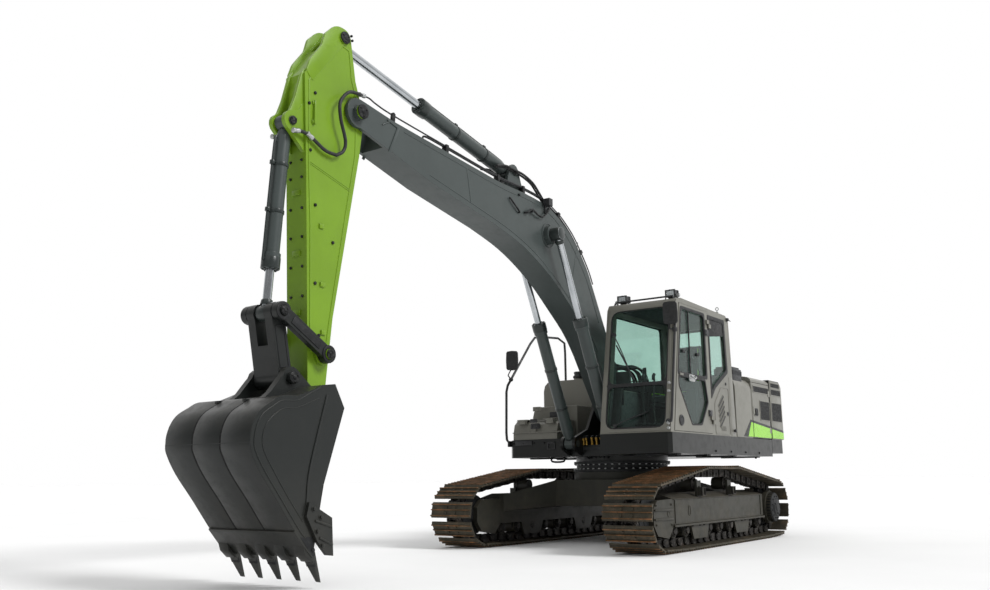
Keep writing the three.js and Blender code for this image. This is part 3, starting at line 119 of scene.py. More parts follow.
def shade_group(degrees):
    """Smooth faces, with the edges sharp where they turn by more than that."""
    group, start, end = node_group(f"shade_{degrees}")
    smooth = group.nodes.new("GeometryNodeSetShadeSmooth")
    smooth.inputs["Shade Smooth"].default_value = True
    angle = group.nodes.new("GeometryNodeInputMeshEdgeAngle")
    sharp = group.nodes.new("FunctionNodeCompare")
    sharp.operation = "GREATER_THAN"
    sharp.inputs[1].default_value = math.radians(degrees)
    edges = group.nodes.new("GeometryNodeSetShadeSmooth")
    edges.domain = "EDGE"
    edges.inputs["Shade Smooth"].default_value = False
    group.links.new(start.outputs[0], smooth.inputs[0])
    group.links.new(smooth.outputs[0], edges.inputs[0])
    group.links.new(angle.outputs[0], sharp.inputs[0])
    group.links.new(sharp.outputs[0], edges.inputs["Selection"])
    group.links.new(edges.outputs[0], end.inputs[0])
    return group


FLAT_UNDER = 0.6   # degrees: faces that differ by less become one
EDGE_FROM = 32   # degrees: an edge that turns by more is rounded, and shaded sharp
WELD = weld_group()
SHADE = shade_group(EDGE_FROM)


def soften(obj, width, segments=2, cad=False, flatten=True):
    """Rounded edges and smooth round faces."""
    if cad:
        obj.modifiers.new("weld", "NODES").node_group = WELD
    if cad and flatten:
        flat = obj.modifiers.new("flat", "DECIMATE")
        flat.decimate_type, flat.angle_limit = "DISSOLVE", math.radians(FLAT_UNDER)
    if width:
        bevel = obj.modifiers.new("bevel", "BEVEL")
        bevel.width, bevel.segments = width / 1000, segments
        bevel.limit_method, bevel.angle_limit = "ANGLE", math.radians(EDGE_FROM)
        bevel.miter_outer = "MITER_ARC"
    obj.modifiers.new("shade", "NODES").node_group = SHADE
    if cad:
        even = obj.modifiers.new("even", "WEIGHTED_NORMAL")
        even.keep_sharp = True


# ---------------------------------------------------------------- materials
class Nodes:
    """Builds a material's nodes in a few words."""

    def __init__(self, name):
        self.material = bpy.data.materials.new(name)
        self.material.use_nodes = True
        self.tree = self.material.node_tree
        self.shader = self.tree.nodes["Principled BSDF"]
        self.coords = self.node("ShaderNodeTexCoord").outputs["Object"]

    def node(self, kind, **inputs):
        made = self.tree.nodes.new(kind)
        for key, value in inputs.items():
            self.put(value, made.inputs[key.replace("_", " ")])
        return made

    def put(self, value, socket):
        if isinstance(value, bpy.types.NodeSocket):
            self.tree.links.new(value, socket)
        else:
            socket.default_value = value

    def set(self, name, value):
        self.put(value, self.shader.inputs[name])

    def noise(self, scale, detail=4, rough=0.55, stretch=None):
        at = self.coords
        if stretch:
            at = self.node("ShaderNodeMapping", Vector=at, Scale=stretch).outputs[0]
        return self.node("ShaderNodeTexNoise", Vector=at, Scale=scale, Detail=detail,
                         Roughness=rough).outputs["Fac"]

    def ramp(self, value, low, high, out_low=0.0, out_high=1.0):
        made = self.node("ShaderNodeMapRange", Value=value)
        for name, number in zip(("From Min", "From Max", "To Min", "To Max"), (low, high, out_low, out_high)):
            made.inputs[name].default_value = number
        return made.outputs[0]

    def math(self, operation, a, b=0.0):
        made = self.node("ShaderNodeMath")
        made.operation = operation
        self.put(a, made.inputs[0])
        self.put(b, made.inputs[1])
        return made.outputs[0]

    def mix(self, factor, a, b):
        made = self.node("ShaderNodeMix")
        made.data_type = "RGBA"
        self.put(factor, made.inputs[0])
        self.put(a, made.inputs[6])
        self.put(b, made.inputs[7])
        return made.outputs[2]

    def bump(self, height, strength, distance, normal=None):
        made = self.node("ShaderNodeBump", Strength=strength, Distance=distance, Height=height)
        if normal:
            self.put(normal, made.inputs["Normal"])
        return made.outputs[0]

    def up(self):
        """How far a face looks up, 0 to 1."""
        geometry = self.node("ShaderNodeNewGeometry")
        normal = self.node("ShaderNodeSeparateXYZ", Vector=geometry.outputs["Normal"])
        return self.ramp(normal.outputs[2], 0.15, 0.95)

    def height(self, low, high):
        """1 below low, 0 above high, in metres."""
        part = self.node("ShaderNodeSeparateXYZ", Vector=self.coords)
        return self.ramp(part.outputs[2], low, high, 1.0, 0.0)


def rgb(r, g, b):
    """sRGB bytes as a linear colour."""
    return tuple((v / 255 / 12.92) if v < 11 else ((v / 255 + 0.055) / 1.055) ** 2.4
                 for v in (r, g, b)) + (1.0,)


DUST = rgb(150, 138, 118)
PAINT_SHADE = 1 - 0.06 * 2.2


def paint(name, colour, rough=0.38, dust=0.25, low_dust=0.0, coat=0.35, peel=0.05):
    """Sprayed paint with slight shade changes, orange peel, dull patches, and dust on top and low down."""
    n = Nodes(name)
    base = rgb(*colour)
    darker = tuple(c * PAINT_SHADE for c in base[:3]) + (1.0,)
    shade = n.mix(n.ramp(n.noise(1.7, 5, 0.6), 0.35, 0.68), darker, base)
    grime = n.ramp(n.noise(9, 8, 0.7), 0.45, 0.75)
    streak = n.ramp(n.noise(6, 4, 0.6, stretch=(1.0, 1.0, 0.12)), 0.55, 0.8)
    settled = n.math("MULTIPLY", n.math("MULTIPLY", n.up(), n.ramp(n.noise(14, 6, 0.65), 0.3, 0.7)), dust)
    amount = n.math("ADD", settled, n.math("MULTIPLY", streak, dust * 0.25))
    if low_dust:
        low = n.math("MULTIPLY", n.height(0.25, 1.0), n.ramp(n.noise(5, 8, 0.7), 0.25, 0.7))
        amount = n.math("ADD", amount, n.math("MULTIPLY", low, low_dust))
    n.set("Base Color", n.mix(amount, shade, DUST))
    dull = n.math("ADD", n.ramp(grime, 0, 1, rough - 0.05, rough + 0.12), n.math("MULTIPLY", amount, 0.6))
    n.set("Roughness", dull)
    n.set("Normal", n.bump(n.noise(260, 2), peel, 0.0012, n.bump(n.noise(3.2, 2), 0.06, 0.01)))
    n.set("Coat Weight", coat)
    n.set("Coat Roughness", 0.12)
    n.set("Specular IOR Level", 0.28)
    return n.material


def worn_steel(name, dark, rust, bright, amounts=(0.55, 0.75), wear=0.3, rough=0.55):
    """Steel with rust in patches and rubbed bright on its flats."""
    n = Nodes(name)
    patches = n.ramp(n.noise(7, 9, 0.72), *amounts)
    colour = n.mix(patches, rgb(*dark), rgb(*rust))
    rubbed = n.math("MULTIPLY", n.ramp(n.noise(26, 6, 0.6, stretch=(1, 0.25, 1)), 0.5, 0.72), wear)
    n.set("Base Color", n.mix(rubbed, colour, rgb(*bright)))
    n.set("Metallic", n.math("MULTIPLY", n.math("SUBTRACT", 1.0, patches), 0.75))
    n.set("Roughness", n.ramp(n.noise(40, 5), 0.2, 0.8, rough - 0.12, rough + 0.25))
    n.set("Normal", n.bump(n.noise(90, 8, 0.7), 0.25, 0.004))
    return n.material


def chrome():
    n = Nodes("hard_chrome")
    lines = n.noise(240, 3, 0.6, stretch=(0.06, 1, 0.06))
    n.set("Base Color", n.mix(n.ramp(n.noise(3, 5), 0.3, 0.8), rgb(196, 200, 203), rgb(158, 163, 167)))
    n.set("Metallic", 1.0)
    n.set("Roughness", n.ramp(lines, 0.3, 0.7, 0.12, 0.24))
    n.set("Normal", n.bump(lines, 0.03, 0.0005))
    return n.material


def rubber(name="rubber", colour=(24, 25, 26), rough=0.62):
    n = Nodes(name)
    grey = tuple(min(1, c * 2.2) for c in rgb(*colour)[:3]) + (1.0,)
    n.set("Base Color", n.mix(n.ramp(n.noise(12, 8, 0.7), 0.45, 0.8), rgb(*colour), grey))
    n.set("Roughness", n.ramp(n.noise(30, 4), 0.3, 0.7, rough - 0.12, rough + 0.15))
    n.set("Normal", n.bump(n.noise(500, 2), 0.12, 0.0006))
    return n.material


def glass():
    """Tinted safety glass: see-through by its tint, with a mirror's share by angle and faint smears."""
    n = Nodes("tinted_glass")
    n.tree.nodes.remove(n.shader)
    clear = n.node("ShaderNodeBsdfTransparent")
    tint = n.mix(n.ramp(n.noise(1.3, 3), 0.3, 0.7), (0.74, 0.845, 0.81, 1), (0.79, 0.88, 0.85, 1))
    n.put(tint, clear.inputs["Color"])
    mirror = n.node("ShaderNodeBsdfAnisotropic")
    n.put(n.ramp(n.noise(5, 6, 0.7), 0.4, 0.8, 0.01, 0.09), mirror.inputs["Roughness"])
    mirror.inputs["Color"].default_value = (0.92, 0.97, 0.96, 1)
    blend = n.node("ShaderNodeMixShader")
    edge_on = n.math("POWER", n.node("ShaderNodeLayerWeight", Blend=0.5).outputs["Facing"], 5.0)
    n.put(n.math("ADD", n.math("MULTIPLY", edge_on, 0.7), 0.025), blend.inputs[0])
    n.tree.links.new(clear.outputs[0], blend.inputs[1])
    n.tree.links.new(mirror.outputs[0], blend.inputs[2])
    n.tree.links.new(blend.outputs[0], n.tree.nodes["Material Output"].inputs["Surface"])
    return n.material


def cloth(name, colour, scale=900):
    """Woven seat cloth."""
    n = Nodes(name)
    warp = n.node("ShaderNodeTexWave", Vector=n.coords, Scale=scale / 6.3)
    weft = n.node("ShaderNodeTexWave", Vector=n.coords, Scale=scale / 6.3)
    warp.bands_direction, weft.bands_direction = "X", "Y"
    weave = n.math("MULTIPLY", warp.outputs["Fac"], weft.outputs["Fac"])
    base = rgb(*colour)
    light = tuple(min(1, c * 2.4) for c in base[:3]) + (1.0,)
    n.set("Base Color", n.mix(n.math("MULTIPLY", weave, n.noise(60, 4)), base, light))
    n.set("Roughness", n.ramp(n.noise(25, 3), 0.3, 0.7, 0.8, 0.98))
    n.set("Sheen Weight", 0.4)
    n.set("Normal", n.bump(weave, 0.5, 0.0008, n.bump(n.noise(12, 3), 0.25, 0.004)))
    return n.material


LIME = paint("lime_paint", (116, 152, 34), 0.36, dust=0.06, coat=0.12)
BOOM_GREY = paint("boom_grey", (66, 73, 72), 0.4, dust=0.06, coat=0.1)
CYLINDER_GREY = paint("cylinder_grey", (48, 54, 53), 0.34, dust=0.05, coat=0.15)
SKIRT_GREY = paint("skirt_grey", (23, 25, 24), 0.36, dust=0.05, coat=0.12)
TAUPE = paint("warm_grey", (118, 117, 109), 0.38, dust=0.05, coat=0.12)
CHARCOAL = paint("charcoal", (30, 33, 32), 0.42, dust=0.07, low_dust=0.06, coat=0.06, peel=0.12)
FRAME_GREY = paint("frame_grey", (42, 43, 38), 0.5, dust=0.16, low_dust=0.12, coat=0.0, peel=0.15)
LIVERY = paint("livery_green", (140, 205, 40), 0.3, dust=0.03, coat=0.3)
STEEL = worn_steel("track_steel", (76, 72, 62), (96, 78, 54), (112, 104, 92), (0.5, 0.75))
CHAIN = worn_steel("chain_steel", (48, 46, 44), (78, 58, 40), (128, 124, 118), wear=0.5)
CAST = worn_steel("cast_black", (44, 45, 46), (64, 56, 48), (84, 84, 84), (0.62, 0.85), 0.25, 0.5)
BOLT = worn_steel("bolt_black", (36, 37, 38), (70, 58, 46), (110, 110, 108), (0.7, 0.9), 0.35, 0.42)
CHROME = chrome()
RUBBER = rubber()
PLASTIC = rubber("black_plastic", (30, 31, 33), 0.45)
# near-black: painted shade for the gaps between the bucket's wear bands
GAP_SHADE = rubber("gap_painted_shade", (7, 7, 7), 0.9)
GLASS = glass()
CLOTH = cloth("seat_cloth", (38, 40, 43))
BRASS = worn_steel("fitting_gold", (168, 134, 62), (138, 104, 44), (212, 184, 110), (0.5, 0.8), 0.4, 0.34)
LENS = paint("lamp_lens", (196, 202, 204), 0.1, dust=0.0, coat=1.0, peel=0.4)
LINING = rubber("cab_lining", (52, 55, 56), 0.7)
RUST = worn_steel("grouser_rust", (96, 74, 50), (142, 92, 50), (136, 122, 100), (0.45, 0.65), 0.4, 0.6)
SILVER = worn_steel("bright_zinc", (176, 178, 178), (130, 128, 122), (214, 214, 212), (0.6, 0.85), 0.4, 0.3)

LOOKS = {
    "boom_paint": BOOM_GREY, "arm_paint": LIME, "body_paint": TAUPE, "bucket_paint": CHARCOAL,
    "track_steel": STEEL, "cast_parts": CAST, "chrome": CHROME, "glass": GLASS, "trim": PLASTIC,
    "tube_black": RUBBER, "seat_cloth": CLOTH,
}
OWN_LOOK = {
    "swing_platform": SKIRT_GREY, "counterweight": SKIRT_GREY, "valve_housing": SKIRT_GREY,
    "carbody": FRAME_GREY, "track_frame_left": FRAME_GREY, "track_frame_right": FRAME_GREY,
}
HOLED = {"cab_shell", "cab_door"}
EDGE_MM = {"counterweight": 28, "cab_shell": 12, "cab_door": 5, "swing_platform": 10, "engine_hood": 10,
           "bucket": 5, "service_housing_left": 10, "fuel_tank": 12, "hydraulic_tank": 12, "step_box": 12,
           "boom": 6, "arm": 6}


def dress_cad():
    for name, obj in frame["nodes"].items():
        glazing = "window" in name or "windscreen" in name
        for slot in obj.material_slots:
            slot.material = OWN_LOOK.get(name, LOOKS.get(slot.material.name.split(".")[0], SKIRT_GREY))
        if not glazing:
            soften(obj, EDGE_MM.get(name, 4), cad=True, flatten=name not in HOLED)


dress_cad()


# ---------------------------------------------------------------- building pieces
FRONT_LEAN = 0.1836   # how far the cab's front runs back for each unit up


def front_x(z):
    """The cab's front face at a height."""
    return 1375 - FRONT_LEAN * (z - 1336)


UP, DOWN, FORWARD, BACK, OUTWARD = (0, 0, 1), (0, 0, -1), (1, 0, 0), (-1, 0, 0), (0, 1, 0)
PLANES = {
    "xz": lambda a, b, t: (a, t, b),
    "xy": lambda a, b, t: (a, b, t),
    "yz": lambda a, b, t: (t, a, b),
    "front": lambda a, b, t: (front_x(b) + 0.9836 * t, a, b + 0.1806 * t),
}


def eye_ring(centre, outer, inner):
    """Two arcs, nearly closed, for a flat ring round a pin."""
    return arc(centre, outer, 0, 350, 24), arc(centre, inner, 0, 350, 24)


def rect(a0, a1, b0, b1):
    return [(a0, b0), (a1, b0), (a1, b1), (a0, b1)]


def circle(a, b, radius, count=12, turn=0.0):
    """Evenly spaced points of a circle, from a first turn in radians."""
    turns = [turn + 2 * math.pi * k / count for k in range(count)]
    return [(a + radius * math.cos(t), b + radius * math.sin(t)) for t in turns]


def arc(centre, radius, start, end, steps):
    """Points of an arc in degrees."""
    turns = [math.radians(start + (end - start) * i / steps) for i in range(steps + 1)]
    return [(centre[0] + radius * math.cos(t), centre[1] + radius * math.sin(t)) for t in turns]


def rounded(points, radius, steps=4):
    """A closed outline with each corner cut to a smooth curve."""
    made = []
    count = len(points)
    for i, corner in enumerate(points):
        corner = Vector(corner)
        before, after = Vector(points[i - 1]) - corner, Vector(points[(i + 1) % count]) - corner
        reach = min(radius, before.length * 0.48, after.length * 0.48)
        a, b = corner + before.normalized() * reach, corner + after.normalized() * reach
        for k in range(steps + 1):
            t = k / steps
            made.append(tuple(a * (1 - t) ** 2 + corner * 2 * t * (1 - t) + b * t * t))
    return made


def inset(points, distance):
    """A closed convex-ish outline moved inwards by a distance."""
    area = sum(a[0] * b[1] - b[0] * a[1] for a, b in zip(points, points[1:] + points[:1]))
    sign = 1 if area > 0 else -1
    made = []
    for i, point in enumerate(points):
        here = Vector(point)
        into, out = here - Vector(points[i - 1]), Vector(points[(i + 1) % len(points)]) - here
        n1 = Vector((-into.y, into.x)).normalized() * sign
        n2 = Vector((-out.y, out.x)).normalized() * sign
        made.append(tuple(here + (n1 + n2) * (distance / max(0.35, 1 + n1.dot(n2)))))
    return made


def smooth_path(points, steps=6):
    """A Catmull-Rom curve through the points."""
    pts = [Vector(p) for p in points]
    pts = [pts[0] * 2 - pts[1]] + pts + [pts[-1] * 2 - pts[-2]]
    made = []
    for a, b, c, d in zip(pts, pts[1:], pts[2:], pts[3:]):
        for k in range(steps):
            t = k / steps
            made.append(0.5 * (2 * b + (c - a) * t + (2 * a - 5 * b + 4 * c - d) * t * t
                               + (3 * b - a - 3 * c + d) * t ** 3))
    return made + [pts[-2]]


class Kit:
    """Gathers solids given in the machine's millimetres, and makes one piece of them."""

    def __init__(self):
        self.bm = bmesh.new()

    def ring_of(self, points):
        return [self.bm.verts.new(spot(*p)) for p in points]

    def bridge(self, a, b):
        count = len(a)
        for i in range(count):
            self.bm.faces.new((a[i], a[(i + 1) % count], b[(i + 1) % count], b[i]))

    def prism(self, outline, t0, t1, plane="xz"):
        place = PLANES[plane]
        low, high = (self.ring_of([place(a, b, t) for a, b in outline]) for t in (t0, t1))
        self.bm.faces.new(low)
        self.bm.faces.new(high)
        self.bridge(low, high)
        return self

    def frame(self, outer, inner, t0, t1, plane="xz"):
        """A flat ring between two outlines of the same number of points."""
        place = PLANES[plane]
        rings = [self.ring_of([place(a, b, t) for a, b in line]) for t in (t0, t1) for line in (outer, inner)]
        for a, b in ((0, 1), (2, 3), (0, 2), (1, 3)):
            self.bridge(rings[a], rings[b])
        return self

    def box(self, x0, x1, y0, y1, z0, z1):
        return self.prism(rect(x0, x1, z0, z1), y0, y1)

    def lathe(self, at, direction, profile, sides=20, ring=False):
        """A turned piece from (radius, distance along) pairs: its ends closed, or joined for a ring."""
        axis = Vector(direction).normalized()
        side = axis.orthogonal().normalized()
        other = axis.cross(side)
        rings = []
        for radius, along in profile:
            middle = Vector(at) + axis * along
            rings.append(self.ring_of([middle + side * u + other * w
                                       for u, w in circle(0, 0, radius, sides)]))
        for a, b in zip(rings, rings[1:]):
            self.bridge(a, b)
        if ring:
            self.bridge(rings[-1], rings[0])
            return self
        self.bm.faces.new(rings[0])
        self.bm.faces.new(rings[-1])
        return self

    def rod(self, start, end, radius, sides=12):
        start, end = Vector(start), Vector(end)
        return self.lathe(start, end - start, [(radius, 0), (radius, (end - start).length)], sides)

    def bolt(self, at, direction, radius=11):
        """A hexagon head on its washer."""
        self.lathe(at, direction, [(radius * 1.45, -2), (radius * 1.45, 3), (radius * 1.3, 3.6)], 14)
        return self.lathe(at, direction, [(radius, 3), (radius, radius * 0.9),
                                          (radius * 0.8, radius * 1.1)], 6)

    def pipe(self, points, radius, sides=10, steps=6, curved=True):
        """A tube along a path. The section is carried along without twist."""
        path = smooth_path(points, steps) if curved else [Vector(p) for p in points]
        heading = (path[1] - path[0]).normalized()
        side = heading.orthogonal().normalized()
        rings = []
        for i, point in enumerate(path):
            ahead = (path[min(i + 1, len(path) - 1)] - path[max(i - 1, 0)]).normalized()
            side = (side - ahead * side.dot(ahead)).normalized()
            other = ahead.cross(side)
            rings.append(self.ring_of([point + side * u + other * w for u, w in circle(0, 0, radius, sides)]))
        for a, b in zip(rings, rings[1:]):
            self.bridge(a, b)
        self.bm.faces.new(rings[0])
        self.bm.faces.new(rings[-1])
        return self

    def done(self, name, body, look, slot, bevel=2.0, segments=2):
        """The piece: its mesh, its soft edges, its look and its body. The slot argument is not used."""
        bmesh.ops.recalc_face_normals(self.bm, faces=self.bm.faces[:])
        data = bpy.data.meshes.new(name)
        self.bm.to_mesh(data)
        self.bm.clear()
        obj = place(name, data)
        data.materials.append(look)
        soften(obj, bevel, segments)
        if body:
            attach(obj, body)
        return obj


# ---------------------------------------------------------------- tracks
GUIDES = [(1290, 220.3, 80.3), (1845, 396, 240), (575, 740, 75), (-400, 740, 75), (-1845, 396, 240),
          (-1430, 220.3, 80.3)]
GAUGE_HALF = 1190
SHOE_HALF = 300


def belt_line(offset):
    """The belt round its guides at a distance from them: points with their outward directions."""
    starts = []
    for i, (x, z, r) in enumerate(GUIDES):
        nx, nz, nr = GUIDES[(i + 1) % len(GUIDES)]
        lean = math.asin((r - nr) / math.hypot(nx - x, nz - z))
        starts.append(math.atan2(nz - z, nx - x) - math.pi / 2 + lean)
    line = []
    for i, (x, z, r) in enumerate(GUIDES):
        start = starts[i - 1]
        sweep = (starts[i] - start) % (2 * math.pi)
        steps = max(2, math.ceil(sweep / 0.04))
        for k in range(steps + 1):
            turn = start + sweep * k / steps
            away = Vector((math.cos(turn), math.sin(turn))) * (r + offset)
            line.append((Vector((x, z)) + away, turn))
    return line


def shoe_frames(pitch_wanted=190, at=45):
    """Each link's middle on the belt, with its outward turn, evenly spaced."""
    line = belt_line(at)
    line.append((line[0][0], line[0][1] + 2 * math.pi))
    lengths = [0.0]
    for (a, _), (b, _) in zip(line, line[1:]):
        lengths.append(lengths[-1] + (b - a).length)
    count = round(lengths[-1] / pitch_wanted)
    pitch = lengths[-1] / count
    made, index = [], 0
    for i in range(count):
        goal = (i + 0.5) * pitch
        while lengths[index + 1] < goal:
            index += 1
        share = (goal - lengths[index]) / max(1e-6, lengths[index + 1] - lengths[index])
        point = line[index][0].lerp(line[index + 1][0], share)
        swing = (line[index + 1][1] - line[index][1] + math.pi) % (2 * math.pi) - math.pi
        made.append((point, line[index][1] + swing * share))
    return made, pitch


SHOE_SECTION = [(-93, 50), (-94, 58), (-88, 72), (-80, 74), (-76, 93), (-66, 94), (-60, 74), (-10, 73),
                (-6, 91), (3, 92), (8, 73), (54, 73), (59, 93), (69, 94), (74, 74), (84, 72), (93, 64),
                (97, 52), (92, 50), (82, 57), (-84, 57)]
LINK_SECTION = [(-104, -12), (-90, -36), (-52, -42), (30, -44), (82, -34), (102, -10), (100, 14), (84, 34),
                (60, 52), (-66, 52), (-98, 22)]


def extrude(mesh, outline, y0, y1):
    """Adds a section, in millimetres, pulled from y0 to y1."""
    low, high = ([mesh.verts.new((u / 1000, y / 1000, w / 1000)) for u, w in outline] for y in (y0, y1))
    mesh.faces.new(low)
    mesh.faces.new(high)
    for i in range(len(outline)):
        k = (i + 1) % len(outline)
        mesh.faces.new((low[i], low[k], high[k], high[i]))


def link_mesh(name, parts, bolts=()):
    """One link's mesh in its own frame: (outline, y from, y to) sections, and bolt heads at (u, y)."""
    made = bmesh.new()
    for part in parts:
        extrude(made, *part)
    for u, y in bolts:
        head = bmesh.ops.create_cone(made, cap_ends=True, segments=6, radius1=0.0135, radius2=0.012,
                                     depth=0.016)
        bmesh.ops.translate(made, verts=head["verts"], vec=(u / 1000, y / 1000, 0.08))
    bmesh.ops.recalc_face_normals(made, faces=made.faces[:])
    data = bpy.data.meshes.new(name)
    made.to_mesh(data)
    made.free()
    return data


def repeat_link(source, frames, sign, name):
    """The link's mesh at every place on one side's belt."""
    whole = bmesh.new()
    for point, turn in frames:
        before = len(whole.verts)
        whole.from_mesh(source)
        whole.verts.ensure_lookup_table()
        out = Vector((math.cos(turn), 0, math.sin(turn)))
        along = Vector((-math.sin(turn), 0, math.cos(turn)))
        for vert in whole.verts[before:]:
            u, y, w = vert.co
            vert.co = spot(point.x, sign * GAUGE_HALF, point.y) + along * u + out * w + Vector((0, y, 0))
    bmesh.ops.recalc_face_normals(whole, faces=whole.faces[:])
    data = bpy.data.meshes.new(name)
    whole.to_mesh(data)
    whole.free()
    return data


def grouser_tip(u, half):
    """The worn top of a shoe's bar, in the link's section."""
    return [(u - half, 88), (u - half + 1, 94), (u + half - 1, 94.2), (u + half, 88)]


def make_tracks():
    """Shoes, links and grouser tips round both tracks, in place of the CAD's loops."""
    frames, _ = shoe_frames()
    shoe = link_mesh("shoe", [(SHOE_SECTION, 1 - SHOE_HALF, SHOE_HALF - 1)],
                     [(u, y) for u in (-38, 32) for y in (-66, 66)])
    half = [(LINK_SECTION, 46, 68),
            ([(u * 0.99 + 6, w) for u, w in LINK_SECTION[4:9]] + [(0, 50), (0, -42)], 68, 84)]
    half += [(circle(-95, 0, 30), 30, 46), (circle(-95, 0, 17), 0, 92), (circle(95, 0, 34), 66, 86)]
    link = link_mesh("link", half + [(outline, -y1, -y0) for outline, y0, y1 in half])
    tips = link_mesh("grouser", [(grouser_tip(u, w), 2 - SHOE_HALF, SHOE_HALF - 2)
                                 for u, w in ((-71, 6.5), (-1.5, 5.5), (64, 6.5))])
    for side, sign in (("left", 1), ("right", -1)):
        for kind, source, look, edge in (("shoes", shoe, STEEL, 1.6), ("chain", link, CHAIN, 0),
                                         ("grousers", tips, RUST, 0)):
            data = repeat_link(source, frames, sign, f"track_{kind}_{side}")
            piece = place(data.name, data)
            data.materials.append(look)
            soften(piece, edge, 1)
            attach(piece, "undercarriage")
            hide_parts(f"track_{side}")


make_tracks()


ROLLER_Z, CARRIER_Z, WHEEL_Z = 220.3, 740, 396
CARRIER_X = (575, -400)
IDLER_X, SPROCKET_X = 1845, -1845


def make_running_gear():
    """Rollers' ends, guards, idler and drive details, on both sides."""
    kit = Kit()
    out = 1350   # the track frame's outer face
    for i in range(9):
        x = 1290 - 340 * i
        for y, way in ((1305, 1), (1075, -1)):
            kit.lathe((x, y, ROLLER_Z), (0, way, 0),
                      [(88, -26), (88, -12), (70, -8), (66, 8), (46, 12), (44, 26), (30, 28)], 20)
        for dx in (-62, 62):
            kit.bolt((x + dx, 1362, 270), DOWN, 13)
    for x in CARRIER_X:
        kit.lathe((x, 1270, CARRIER_Z), OUTWARD, [(82, -14), (82, 0), (62, 6), (58, 30), (36, 36),
                                                  (34, 44)], 20)
        foot = rect(x - 50, x + 50, 600, 700)
        kit.frame(foot, inset(foot, 10), 1378, 1396)
        kit.bolt((x, 1330, 700), UP, 14)
    kit.done("roller_ends_left", "undercarriage", CHAIN, "cast_parts", 1.5)
    for z in (352, 452):
        kit.prism([(1400, z), (1868, z + 6), (1868, z + 26), (1400, z + 20)], out - 2, out + 16)
    kit.lathe((1500, out, 420), OUTWARD, [(34, 0), (34, 5), (24, 5.5), (22, 1)], 18)
    for x, z in ((1430, 300), (1430, 520), (1820, 520), (1820, 310)):
        kit.bolt((x, out, z), OUTWARD, 12)
    slot = rounded(rect(900, 960, 380, 500), 28)
    kit.frame(slot, inset(slot, 9), out - 2, out + 5)
    for z, lift, radius in ((575, 3, 7), (300, 4, 8)):
        kit.pipe([(-1500, out + lift, z), (1380, out + lift, z)], radius, 8, curved=False)
    for x in (-1440, 1330):
        kit.box(x - 8, x + 8, out - 1, out + 9, 296, 578)
    kit.done("frame_trim_left", "undercarriage", FRAME_GREY, "boom_paint", 2)
    kit.lathe((SPROCKET_X, 1415, WHEEL_Z), OUTWARD,
              [(190, -1), (190, 8), (168, 16), (120, 20), (112, 34), (60, 40), (56, 46)], 40)
    for x, z in circle(SPROCKET_X, WHEEL_Z, 192, 30):
        kit.lathe((x, 1404, z), OUTWARD, [(11, -40), (11, 12), (8, 16)], 6)
    for x, z in circle(SPROCKET_X, WHEEL_Z, 148, 12, math.pi / 12):
        kit.bolt((x, 1431, z), OUTWARD, 11)
    for t in (0.6, 2.7, 4.7):
        kit.bolt((SPROCKET_X + 84 * math.cos(t), 1449, WHEEL_Z + 84 * math.sin(t)), OUTWARD, 13)
    kit.done("final_drive_cover_left", "undercarriage", CAST, "cast_parts", 2)
    kit.lathe((IDLER_X, 1280, WHEEL_Z), OUTWARD, [(150, -12), (150, 0), (120, 8), (70, 12), (66, 30),
                                                  (44, 36)], 28)
    for x, z in circle(SPROCKET_X, WHEEL_Z, 246, 21):
        kit.lathe((x, 1155, z), OUTWARD, [(20, 0), (26, 8), (26, 62), (20, 70)], 8)
    kit.done("idler_hub_left", "undercarriage", CAST, "cast_parts", 2)
    for name, slot_name in (("roller_ends", "cast_parts"), ("frame_trim", "boom_paint"),
                            ("final_drive_cover", "cast_parts"), ("idler_hub", "cast_parts")):
        mirror_piece(f"{name}_left", f"{name}_right")


def mirror_piece(source, name):
    """The same piece on the machine's other side."""
    obj = bpy.data.objects[source]
    data = obj.data.copy()
    for vert in data.vertices:
        vert.co.y = -vert.co.y
    data.flip_normals()
    made = place(name, data)
    for modifier in obj.modifiers:
        if modifier.type == "BEVEL":
            soften(made, modifier.width * 1000, modifier.segments)
    if not made.modifiers:
        soften(made, 0)
    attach(made, "undercarriage")


make_running_gear()


def make_swing_ring():
    """The swing ring's section turned, with two rows of bolts."""
    kit = Kit()
    profile = [(524, 902), (648, 902), (648, 934), (606, 938), (604, 996), (640, 1000), (640, 1034),
               (524, 1034)]
    kit.lathe((0, 0, 0), UP, profile, 64, ring=True)
    ring = kit.done("swing_ring", "undercarriage", CAST, "cast_parts", 2)
    for x, y in circle(0, 0, 627, 44):
        kit.bolt((x, y, 934), UP, 13)
        kit.bolt((x * 0.99, y * 0.99, 1000), DOWN, 12)
    kit.done("swing_ring_bolts", "undercarriage", SILVER, "cast_parts", 0)
    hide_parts("swing_bearing")


make_swing_ring()


# ---------------------------------------------------------------- cab
CAB_Y = 901.5      # the cab's and the seat's middle plane
SIDE = 1363        # the body's side face
DOOR_FACE = 1369
FRONT_PANES = (rect(515, 1288, 1400, 1900),
               rect(515, 1288, 1930, 2850))
DOOR_UPPER = [(256, 2050), (1094, 2050), (949, 2840), (256, 2840)]
DOOR_LOWER = [(310, 2005), (245, 1735), (470, 1455), (760, 1445), (1095, 1890), (1095, 2005)]
QUARTER = [(90, 1860), (90, 2830), (-405, 2830), (-440, 2190), (0, 1960)]
RIGHT_PANE = [(-420, 1900), (1101, 1900), (931, 2830), (-420, 2830)]


def seal(kit, outline, t0, t1, plane, wide=26, lap=22, corner=60):
    """A rubber frame on a pane's edge."""
    outer = rounded(inset(outline, -wide), corner * 0.7, 6)
    kit.frame(outer, rounded(inset(outline, lap), corner, 6), t0, t1, plane)


